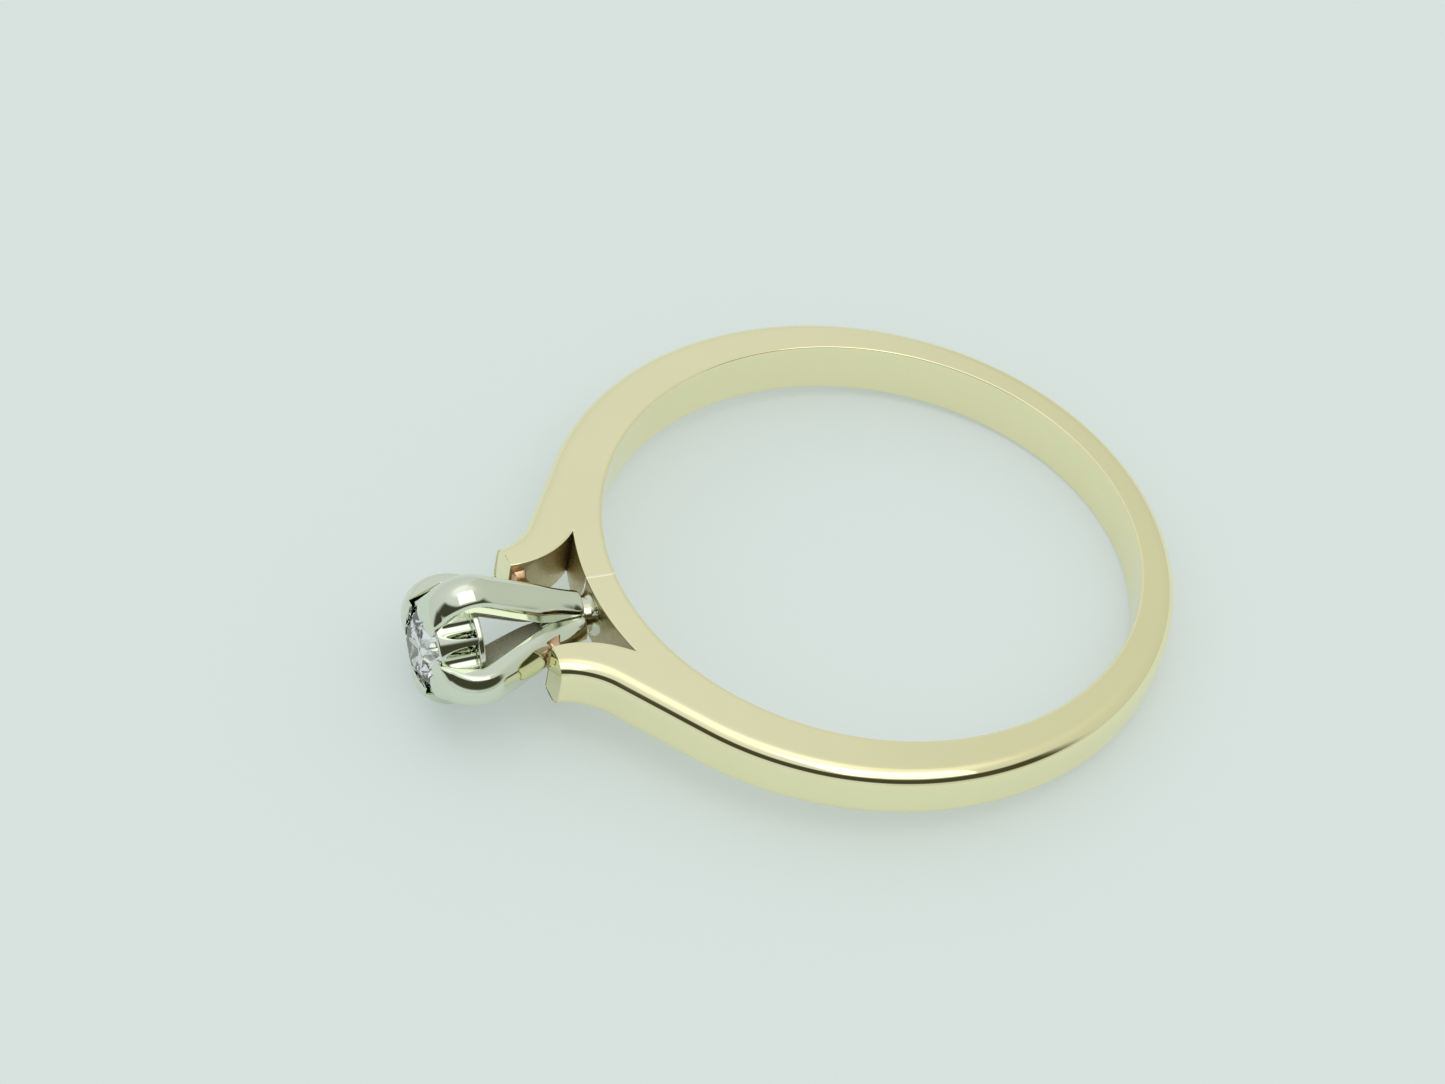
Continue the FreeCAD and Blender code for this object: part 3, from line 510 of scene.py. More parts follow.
@dataclass(frozen=True)
class BrilliantStone:
    """Clear colourless stone."""

    name: str = "clear_stone"
    color: tuple = (0.96, 0.98, 1.0)
    index: float = 2.417

    def make(self) -> bpy.types.Material:
        """Builds the material: clear glass with the stone's own refraction."""
        material, _ = new_material(self.name, {
            "Base Color": (*self.color, 1.0), "Metallic": 0.0, "Roughness": 0.0,
            "IOR": self.index, "Transmission Weight": 1.0})
        return material


# ---- band


@dataclass
class Band:
    """The band: round at the back, its front split into a bridge and two raised shoulders.

    Lengths are in millimetres. Heights run from the finger's axis towards the head. A room is
    the largest share of a thickness that a rounding takes, a rate is how fast an inner edge's
    rounding grows from the opening's point, and the bend is where a section's two lines meet.
    """

    bore: float = 8.65
    half: float = 0.90
    outside: float = 10.13
    shift: float = 0.38
    bridge: float = 9.60
    shoulder_start: float = 6.07
    tip_height: float = 11.71
    tip_inside: float = 1.75
    tip_outside: float = 2.75
    hollow: float = 2.30
    underside: float = 3.00
    slit: float = 2.646
    corner: float = 0.50
    corner_room: float = 0.96
    edge: float = 0.045
    arm_edge_rate: float = 6.0
    bridge_edge_rate: float = 8.0
    crown: float = 0.03
    bend: float = 0.42
    tip_edge: float = 0.05
    tip_edge_room: float = 0.8
    seam: float = 0.66
    seam_gap: float = 0.10
    solder_lift: float = 0.008
    near_enough: float = 0.02
    back_steps: int = 400
    arm_steps: int = 56
    tip_steps: int = 4
    bridge_steps: int = 60
    seam_steps: int = 8
    side_rows: int = 8

    def __post_init__(self) -> None:
        """Works out the shoulder's curve: a straight tangent to the band, then a hollow."""
        drop = math.sqrt(self.outside ** 2 - self.shoulder_start ** 2)
        self.leave = np.array([self.shoulder_start, -self.shift - drop])
        self.along = np.array([-drop, -self.shoulder_start]) / self.outside
        outward = np.array([self.shoulder_start, -drop]) / self.outside
        tip = np.array([self.tip_outside, -self.tip_height]) - self.leave
        lift = float(tip @ outward)
        reach = math.sqrt(self.hollow ** 2 - (self.hollow - lift) ** 2)
        self.straight = float(tip @ self.along) - reach
        self.touch = self.leave + self.straight * self.along
        self.hollow_centre = self.touch + self.hollow * outward
        self.hollow_turn = math.asin(reach / self.hollow)
        self.whole = self.straight + self.hollow * self.hollow_turn
        self.slit_point = np.array([self.slit, -math.sqrt(self.bridge ** 2 - self.slit ** 2)])
        self.slit_turn = math.asin(self.slit / self.bridge)
        self.leave_turn = math.atan2(self.leave[0], -self.leave[1])
        self.split = float((self.slit_point - self.leave) @ self.along)
        tip_in = np.array([self.tip_inside, -self.tip_height])
        chord = self.slit_point - tip_in
        size = float(np.linalg.norm(chord))
        depth = math.sqrt(self.underside ** 2 - (size / 2) ** 2)
        normal = np.array([chord[1], -chord[0]]) / size
        self.under_centre = (self.slit_point + tip_in) / 2 + depth * normal
        self.tip_in = tip_in

    def shoulder_curve(self, run: Array) -> Array:
        """Points on the outside of the right shoulder: a straight, then a circle tangent to it.

        Args:
            run: Distances along the curve from where it leaves the round band.

        Returns:
            Points of shape (runs, 2).
        """
        line = self.leave + run[:, None] * self.along
        turn = np.clip(run - self.straight, 0, None) / self.hollow
        outward = (self.hollow_centre - self.touch) / self.hollow
        circle = (self.hollow_centre + self.hollow * (np.sin(turn)[:, None] * self.along
                                                     - np.cos(turn)[:, None] * outward))
        return np.where(run[:, None] <= self.straight, line, circle)

    @staticmethod
    def ray(turn: Array) -> Array:
        """Directions from the finger's axis, turned from the head to the right shoulder."""
        return np.stack([np.sin(turn), -np.cos(turn)], -1)

    def outer_circle(self, turn: Array) -> Array:
        """Where rays from the finger's axis meet the band's outer circle.

        For a ray d and a circle of radius R about c, the distance is d.c + root(R R - c.c + (d.c)
        squared).

        Args:
            turn: The rays' turns, in radians.

        Returns:
            Points of shape (turns, 2).
        """
        way = self.ray(turn)
        centre = np.array([0.0, -self.shift])
        toward = way @ centre
        far = toward + np.sqrt(self.outside ** 2 - centre @ centre + toward ** 2)
        return way * far[:, None]

    def back(self) -> Stations:
        """Sections round the back of the band, from the right opening's point to the left's.

        Returns:
            The stations.
        """
        share = np.linspace(0, 1, self.back_steps + 1)
        turn = self.slit_turn + (FULL_TURN - 2 * self.slit_turn) * share
        folded = np.minimum(turn, FULL_TURN - turn)
        inner = self.ray(turn) * self.bore
        share = (self.leave_turn - folded) / (self.leave_turn - self.slit_turn)
        rising = (share > 0)[:, None]
        slope = self.shoulder_curve(np.clip(share, 0, 1) * self.split)
        slope[:, 0] *= np.where(turn > math.pi, -1, 1)
        outer = np.where(rising, slope, self.outer_circle(turn))
        straight = inner + (outer - inner) * self.bend
        opening = self.ray(turn) * self.bridge
        ease = np.where(rising, smooth_step(1 - share)[:, None], 1.0)
        middle = opening * (1 - ease) + straight * ease
        low, high = middle - inner, outer - middle
        low_length = np.linalg.norm(low, axis=1)
        high_length = np.linalg.norm(high, axis=1)
        steady = np.ones(len(turn))
        corner = np.minimum(self.corner, (high_length - self.crown) * self.corner_room)
        return Stations(inner, low / low_length[:, None], low_length,
                        high / high_length[:, None], high_length, self.half * steady,
                        self.edge * steady, corner, self.crown * steady, 0 * steady)

    def arm(self, side: int) -> Stations:
        """Sections of one shoulder, from the opening's point out to its end.

        Args:
            side: 1 for the right shoulder and -1 for the left.

        Returns:
            The stations, the last few closing in for the softened end.
        """
        share = np.linspace(0, 1, self.arm_steps + 1)
        outer = self.shoulder_curve(self.split + (self.whole - self.split) * share)
        inner = arc_points(self.under_centre, self.underside, self.slit_point, self.tip_in, share)
        turn = np.linspace(0, QUARTER_TURN, self.tip_steps + 1)[1:]
        inset = self.tip_edge * (1 - np.cos(turn))
        rise = self.tip_edge * np.sin(turn)
        end_in, end_out = inner[-1], outer[-1]
        across = (end_out - end_in) / np.linalg.norm(end_out - end_in)
        inner[-1] += [0, self.tip_edge]
        outer[-1] += [0, self.tip_edge]
        lift = np.stack([0 * rise, self.tip_edge - rise], -1)
        inner = np.concatenate([inner, end_in + inset[:, None] * across + lift])
        outer = np.concatenate([outer, end_out - inset[:, None] * across + lift])
        inset = np.concatenate([share * 0, inset])
        grown = np.concatenate([share, share[-1] + turn * 0]) * self.arm_edge_rate
        soft = self.edge * smooth_step(grown)
        inner[:, 0] *= side
        outer[:, 0] *= side
        round_in = np.clip(soft - inset * self.tip_edge_room, 0, None)
        return Stations.between(inner, outer, self.half - inset, round_in, self.corner - inset,
                                self.crown)

    def bridge_part(self, first: float, last: float) -> Stations:
        """Sections of the bridge between two turns from the head's axis.

        Args:
            first: Where the part starts, in radians.
            last: Where it ends.

        Returns:
            The stations.
        """
        turn = np.linspace(first, last, self.bridge_steps + 1)
        inner, outer = self.ray(turn) * self.bore, self.ray(turn) * self.bridge
        room = (self.slit_turn - np.abs(turn)) / self.slit_turn
        soft = self.edge * smooth_step(room * self.bridge_edge_rate)
        return Stations.between(inner, outer, self.half, self.edge, soft, 0.0)

    def build(self) -> bpy.types.Object:
        """Builds the whole band as one shell, parted only at the soldered seam.

        Returns:
            The piece.
        """
        shell = Shell()
        shell.grid(self.back().loops(self.side_rows, self.side_rows))
        seam = -math.asin(self.seam / self.bridge)
        gap = self.seam_gap / 2 / self.bridge
        for part in (self.arm(1), self.arm(-1), self.bridge_part(-self.slit_turn, seam - gap),
                     self.bridge_part(self.slit_turn, seam + gap)):
            rows = part.loops(0, self.side_rows)
            shell.grid(rows)
            shell.cap(rows[-1])
        return shell.build("band")

    def seam_solder(self) -> bpy.types.Object:
        """Builds the seam's solder: a thin slice a hair prouder than the bridge.

        Returns:
            The piece.
        """
        middle = math.asin(self.seam / self.bridge)
        share = np.linspace(-1, 1, self.seam_steps + 1)
        turn = -middle + share * (self.seam_gap / 2 / self.bridge)
        swell = self.solder_lift * (1 - share ** 2) ** 0.5
        inner = self.ray(turn) * (self.bore - swell)[:, None]
        outer = self.ray(turn) * (self.bridge + swell)[:, None]
        stations = Stations.between(inner, outer, self.half + swell, self.edge, self.edge, 0.0)
        return Shell.capped("seam_solder", stations.loops(0, self.side_rows))

    def roughen_and_shade_openings(self, band: bpy.types.Object, rough: bpy.types.Material) -> None:
        """Gives the inside of both openings the unpolished finish, its darker colour painted
        shade.

        A face is inside an opening if its middle lies on the bridge's outside, between the two
        opening points, or on the circle of a shoulder's underside.

        Args:
            band: The band.
            rough: The unpolished finish, its darker colour painted shade.
        """
        middle = face_vectors(band.data, "center") / MM
        aside, height, across = np.abs(middle[:, 0]), middle[:, 1], np.abs(middle[:, 2])
        radius = np.hypot(aside, height)
        inner_side = (across < self.half - self.near_enough) & (aside < self.slit) & (height < 0)
        on_bridge = np.abs(radius - self.bridge) < self.near_enough
        under = np.hypot(aside - self.under_centre[0], height - self.under_centre[1])
        near_under = np.abs(under - self.underside) < self.near_enough
        on_shoulder = near_under & (radius > self.bridge)
        dress_faces(band.data, inner_side & (on_bridge | on_shoulder), rough)

    def dress(self, gold: bpy.types.Material, rough: bpy.types.Material,
              solder: bpy.types.Material) -> None:
        """Builds and dresses the band, its openings' insides and its seam."""
        band = self.build()
        finish_piece(band, gold, Metal.GOLD, "shank")
        self.roughen_and_shade_openings(band, rough)
        finish_piece(self.seam_solder(), solder, Metal.GOLD_SOLDER, "bridge_seam_solder")


# ---- head


def head_turned(loops: Array, turn: float) -> Array:
    """Section points (out from the head's axis, height, across) placed round the head's axis.

    Args:
        loops: Points of shape (..., 3).
        turn: Angle from +X towards +Z, in radians.

    Returns:
        Points (x, y, z), where y is minus the height.
    """
    out, height, across = loops[..., 0], loops[..., 1], loops[..., 2]
    return np.stack([out * math.cos(turn) - across * math.sin(turn), -height,
                     out * math.sin(turn) + across * math.cos(turn)], -1)


@dataclass
class Claws:
    """Four broad straps with bowed faces, from the square core up and over the stone.

    Lengths are in millimetres. The knots are distances along the outside, from the foot, at
    which the inside reaches the core's top, the cup and the curl. The foot and the tip are
    drawn in by the pinch, the mitre and the notch; the bow rounds the outer face.
    """

    half: float = 0.66
    core: float = 0.50
    foot: float = 10.02
    foot_out: float = 0.92
    core_top: float = 11.10
    shoulder: float = 2.42
    curl_start: float = 13.32
    curl: float = 1.40
    tip_thickness: float = 0.20
    tip_reach: float = 1.13
    seat_low: tuple = (1.85, 13.899)
    seat_top: float = 1.42
    inner_knots: tuple = (1.05, 4.35, 5.88)
    inner_easing: int = 4
    mitre_gap: float = 0.004
    mitre_easing: int = 22
    bow: float = 0.35
    deeper_bow: float = 0.07
    deeper_reach: float = 3.6
    bow_room: float = 0.66
    corner: float = 0.07
    corner_room: float = 0.4
    inner_edge: float = 0.04
    inner_edge_room: float = 0.2
    end_edge: float = 0.06
    foot_pinch: float = 0.05
    foot_round: float = 0.20
    notch: float = 0.07
    notch_reach: float = 0.55
    notch_fade: float = 0.4
    # The claws' insides bounded by these two take an unpolished finish whose darker colour is
    # painted shade.
    dull_shade_turn: float = -0.55
    dull_shade_gap: float = 0.05
    steps: int = 170
    side_rows: int = 8
    face_rows: int = 28
    corner_rows: int = 6

    def outer_line(self, share: Array) -> tuple[Array, Array, float]:
        """The middle of a claw's outside: a straight, then an arc tangent to it.

        Args:
            share: Shares of the way from foot to tip.

        Returns:
            The points, the distance along the line at each, and the line's whole length.
        """
        run = math.hypot(self.shoulder - self.foot_out, self.curl_start - self.foot)
        across = (self.curl_start - self.foot) / run
        lean = (self.shoulder - self.foot_out) / run
        tilt = math.atan2(lean, across)
        centre = (self.shoulder - self.curl * across, self.curl_start + self.curl * lean)
        tip_top = math.sqrt(self.curl ** 2 - (self.tip_reach - centre[0]) ** 2)
        bend = math.atan2(tip_top, self.tip_reach - centre[0]) + tilt
        whole = run + self.curl * bend
        way = share * whole
        turn = np.clip(way - run, 0, None) / self.curl - tilt
        straight = np.stack([self.foot_out + way * lean, self.foot + way * across], -1)
        bent = np.stack([centre[0] + self.curl * np.cos(turn),
                         centre[1] + self.curl * np.sin(turn)], -1)
        outer = np.where((way < run)[:, None], straight, bent)
        return outer, way, whole

    def stations(self) -> Stations:
        """Sections of a claw from its foot to its tip.

        Returns:
            The stations.
        """
        share = np.linspace(0, 1, self.steps + 1)
        outer, way, whole = self.outer_line(share)
        under = outer[-1, 1] - self.tip_thickness
        corners = np.array([(self.core, self.foot), (self.core, self.core_top), self.seat_low,
                            (self.seat_top, under), (self.tip_reach, under)])
        knots = np.array([0.0, *self.inner_knots, whole]) / whole
        inner = softened(along_line(corners, knots, share), self.inner_easing)
        low = np.clip(way / self.foot_round, 0, 1)
        pinch = self.foot_pinch * (1 - np.sqrt(1 - (1 - low) ** 2))
        half = np.minimum(self.half, inner[:, 0] - self.mitre_gap)
        half = softened(half[:, None], self.mitre_easing)[:, 0] - pinch
        notch = self.notch * smooth_step((way - whole + self.notch_reach) / self.notch_fade)
        ends = np.clip(1 - np.minimum(way, whole - way) / self.end_edge, 0, 1)
        close = self.end_edge * (1 - np.sqrt(1 - ends ** 2))
        through = outer - inner
        step = through / np.linalg.norm(through, axis=1)[:, None] * close[:, None]
        thick = np.linalg.norm(through, axis=1) - 2 * close
        round_out = np.minimum(self.corner, thick * self.corner_room)
        round_in = np.minimum(self.inner_edge, thick * self.inner_edge_room)
        deeper = np.sin(math.pi * np.clip(way / self.deeper_reach, 0, 1))
        bow = np.minimum(self.bow + self.deeper_bow * deeper, thick * self.bow_room)
        return Stations.between(inner + step, outer - step, half - close, round_in, round_out,
                                bow, notch)

    def dull_and_shade_inside(self, strap: bpy.types.Object, turn: float,
                    dull_shaded: bpy.types.Material) -> None:
        """Leaves a strap's inside unpolished from the core up to the stone cup, its darker colour
        painted shade.

        A face is inside if its outward direction points back to the head's axis.

        Args:
            strap: The strap.
            turn: Turn of the strap round the head's axis, in radians.
            dull_shaded: The unpolished finish, its darker colour painted shade.
        """
        normal = face_vectors(strap.data, "normal")
        height = -face_vectors(strap.data, "center")[:, 1] / MM
        outwards = normal[:, 0] * math.cos(turn) + normal[:, 2] * math.sin(turn)
        below = height < self.seat_low[1] - self.dull_shade_gap
        dress_faces(strap.data, (outwards < self.dull_shade_turn) & below, dull_shaded)

    def dress(self, white: bpy.types.Material, dull_shaded: bpy.types.Material) -> None:
        """Builds and dresses the four claws.

        Args:
            white: The polished finish.
            dull_shaded: The finish of the claws' insides: unpolished, its darker colour painted
                shade.
        """
        loops = self.stations().loops(0, self.side_rows, self.face_rows,
                                      rows_out=self.corner_rows)
        for index, name in enumerate(("right", "upper", "left", "lower")):
            turn = index * QUARTER_TURN
            strap = Shell.capped("strap_" + name, head_turned(loops, turn))
            finish_piece(strap, white, Metal.WHITE, "claw_" + name)
            self.dull_and_shade_inside(strap, turn, dull_shaded)


@dataclass
class Collet:
    """The fluted cup that holds the stone, and the plain rail under it."""

    bottom: float = 13.899
    top: float = 15.039
    edge: float = 1.84
    rim: float = 1.41
    seat: float = 1.27
    ledge: float = 14.939
    hole: float = 0.92
    flute_radius: float = 0.42
    flute_reach: float = 1.86
    flute_spread: float = 17.0
    softness: float = 0.02
    edge_round: float = 0.02
    lip_round: float = 0.015
    past_flute: float = 8.0
    wall_steps: int = 40
    rail_height: float = 0.20
    rail_width: float = 0.30
    rail_out: float = 1.745
    rail_round: float = 0.05
    rail_steps: int = 240
    rail_rows: tuple = (0, 3, 4, 4, 4)
    seat_slope: float = 0.856
    around: int = 720

    def wall(self, turn: Array, height: Array) -> Array:
        """The cup's fluted outside: distances from the head's axis.

        A flute is a circle of radius r about a point at distance c, so a ray at angle d from it
        meets it at c cos d - root(r r - c c sin d squared). The outside is the smaller of that
        and the cone, eased where they meet.

        Args:
            turn: Angles round the axis, in radians.
            height: Heights.

        Returns:
            Distances of shape (heights, turns).
        """
        cone = self.edge + (self.rim - self.edge) * (height - self.bottom) / (
            self.top - self.bottom)
        quarter = np.mod(turn, QUARTER_TURN) - QUARTER_TURN / 2
        away = np.abs(np.abs(quarter) - math.radians(self.flute_spread))
        aside = self.flute_reach * np.sin(away)
        inside = np.clip(self.flute_radius ** 2 - aside ** 2, 0, None)
        cut = self.flute_reach * np.cos(away) - np.sqrt(inside)
        cut += self.past_flute * np.clip(np.abs(aside) - self.flute_radius, 0, None)
        gap = cone[:, None] - cut
        return cone[:, None] - (gap + np.sqrt(gap ** 2 + self.softness ** 2)) / 2

    def cup(self) -> bpy.types.Object:
        """Builds the cup: a turned profile with a fluted outside.

        Returns:
            The piece.
        """
        turn = np.arange(self.around) / self.around * FULL_TURN
        rise = np.linspace(0, 1, self.wall_steps)
        height = self.top - self.bottom - 2 * self.edge_round
        height = self.bottom + self.edge_round + height * rise
        wall = self.wall(turn, height)
        seat_drop = (self.seat - self.hole) * self.seat_slope
        lip = np.minimum(self.rim - self.edge_round, wall[-1] - self.edge_round / 2)
        profile = [
            (self.hole, self.bottom), ((self.hole + self.edge) / 2, self.bottom),
            (wall[0] - self.edge_round, self.bottom), *zip(wall, height),
            (lip, self.top), (self.seat + self.lip_round, self.top),
            (self.seat, self.top - self.lip_round), (self.seat, self.ledge),
            (self.hole, self.ledge - seat_drop), (self.hole, self.bottom),
        ]
        shell = Shell()
        shell.grid(np.stack([about_head(reach, level, turn) for reach, level in profile]))
        return shell.build("fluted_cup")

    def rail(self) -> bpy.types.Object:
        """Builds the rail: a rounded four-sided section carried round the head's axis.

        Returns:
            The piece.
        """
        turn = np.linspace(0, FULL_TURN, self.rail_steps + 1)[:, None]
        middle = self.bottom - self.rail_height / 2
        inner = np.array([[self.rail_out - self.rail_width, middle]])
        outer = np.array([[self.rail_out, middle]])
        section = Stations.between(inner, outer, self.rail_height / 2, self.rail_round,
                                   self.rail_round, 0.0).loops(*self.rail_rows)[0]
        shell = Shell()
        shell.grid(about_head(section[None, :, 0], middle + section[None, :, 2], turn))
        return shell.build("rail")

    def dress(self, white: bpy.types.Material) -> None:
        """Builds and dresses the cup and the rail."""
        finish_piece(self.cup(), white, Metal.WHITE, "stone_cup")
        finish_piece(self.rail(), white, Metal.WHITE, "gallery_rail")


@dataclass
class Foot:
    """What the head stands on: peg and core in one, and the solder around them."""

    bridge: float = 9.60
    peg: float = 0.58
    sink: float = 0.03
    foot: float = 10.02
    core: float = 0.499
    core_top: float = 11.10
    squareness: int = 14
    point: float = 0.001
    neck: tuple = (0.10, 0.03)
    flare: tuple = (0.68, 0.3)
    flare_rise: float = 0.06
    core_edge: tuple = ((0.0, 0.04), (0.03, 0.01), (0.05, 0.0))
    hollow: float = 0.36
    hollow_edge: float = 0.02
    hollow_depth: float = 0.45
    pit: float = 0.15
    pit_share: float = 0.7
    spread: float = 0.22
    climb: float = 0.18
    fillet_steps: int = 8
    fillet_bite: float = 0.02
    fillet_lift: float = 0.002
    waves: tuple = ((0.18, 2, 0.6), (0.10, 3, 0.0))
    joint_half: float = 0.62
    joint_low: float = 11.09
    joint_high: float = 11.62
    joint_out: float = 1.80
    joint_steps: int = 16
    joint_rows: tuple = (0, 4, 8, 5, 5)
    waist_power: float = 0.8
    waist_high: float = 0.10
    waist_low: float = 0.08
    waist_half: float = 0.12
    joint_round_in: float = 0.09
    joint_round_out: float = 0.12
    foot_out: float = 0.92
    claw_lean: float = 0.4545
    claw_bite: float = 0.30
    around: int = 96

    def post(self) -> bpy.types.Object:
        """Builds the peg and core: rings that change from a circle into a rounded square.

        The square's reach at angle a is half / (|cos a|^n + |sin a|^n)^(1 / n), with n the
        squareness. The profile runs from the peg's underside up to the core and into its hollow.

        Returns:
            The piece.
        """
        turn = np.arange(self.around) / self.around * FULL_TURN
        power = self.squareness
        square = self.core / (np.abs(np.cos(turn)) ** power
                              + np.abs(np.sin(turn)) ** power) ** (1 / power)
        low, top = self.bridge - self.sink, self.core_top
        profile = [
            (self.point, low), (self.peg, low),
            *[(self.peg, self.foot - drop) for drop in self.neck],
            (self.peg * self.flare[0] + square * self.flare[1], self.foot),
            (square, self.foot + self.flare_rise), (square, (self.foot + top) / 2),
            *[(square - inset, top - drop) for inset, drop in self.core_edge],
            (self.hollow, top), (self.hollow - self.hollow_edge, top - self.hollow_edge),
            (self.pit, top - self.hollow_depth * self.pit_share),
            (self.point, top - self.hollow_depth),
        ]
        grid = np.stack([about_head(reach, height, turn) for reach, height in profile])
        shell = Shell()
        shell.grid(grid)
        for row in (grid[0], grid[-1]):
            shell.grid(np.stack([row, np.broadcast_to(row.mean(0), row.shape)]))
        return shell.build("head_post")

    def ring(self) -> bpy.types.Object:
        """Builds the solder around the peg: a hollow-sided ring that follows the bridge.

        Its height above the bridge falls as climb (1 - share) squared, and the bridge's own
        height at x is root(R R - x x).

        Returns:
            The piece.
        """
        turn = np.arange(self.around) / self.around * FULL_TURN
        share = np.linspace(0, 1, self.fillet_steps + 1)[:, None]
        uneven = np.ones(self.around)
        for amount, count, start in self.waves:
            uneven += amount * np.sin(count * turn + start)
        radius = self.peg - self.fillet_bite + share * self.spread * uneven
        seat = np.sqrt(self.bridge ** 2 - (radius * np.cos(turn)) ** 2)
        top = seat + self.climb * (1 - share) ** 2 + self.fillet_lift
        rows = about_head(radius, top, turn)
        under = about_head(radius, seat - self.sink, turn)[::-1]
        shell = Shell()
        shell.grid(np.concatenate([rows, under, rows[:1]]))
        return shell.build("peg_fillet")

    def joint(self, name: str, side: int) -> bpy.types.Object:
        """Builds the solder between a claw and a shoulder, drawn in at its middle.

        Args:
            name: The piece's name.
            side: 1 for the right shoulder and -1 for the left.

        Returns:
            The piece.
        """
        share = np.linspace(0, 1, self.joint_steps + 1)
        waist = np.sin(math.pi * share) ** self.waist_power

        def edge(height: Array) -> Array:
            """One edge of the sections at its heights, from inside the claw outwards."""
            start = self.foot_out + (height - self.foot) * self.claw_lean - self.claw_bite
            return np.stack([start + (self.joint_out - start) * share, height], -1)

        low = edge(self.joint_low + self.waist_low * waist)
        high = edge(self.joint_high - self.waist_high * waist)
        half = self.joint_half - self.waist_half * waist
        rows = Stations.between(low, high, half, self.joint_round_in, self.joint_round_out,
                                0.0).loops(*self.joint_rows)
        return Shell.capped(name, head_turned(rows, 0.0 if side > 0 else math.pi))

    def dress(self, white: bpy.types.Material, white_solder: bpy.types.Material,
              gold_solder: bpy.types.Material) -> None:
        """Builds and dresses the post and the three solder pieces.

        Args:
            white: The post's finish.
            white_solder: The finish of the solder round the peg.
            gold_solder: The finish of the two shoulder joints.
        """
        finish_piece(self.post(), white, Metal.WHITE, "head_base")
        finish_piece(self.ring(), white_solder, Metal.WHITE_SOLDER, "peg_solder")
        for name, side in (("right", 1), ("left", -1)):
            finish_piece(self.joint("shoulder_joint_" + name, side), gold_solder,
                         Metal.GOLD_SOLDER, "shoulder_solder_" + name)


# ---- stage


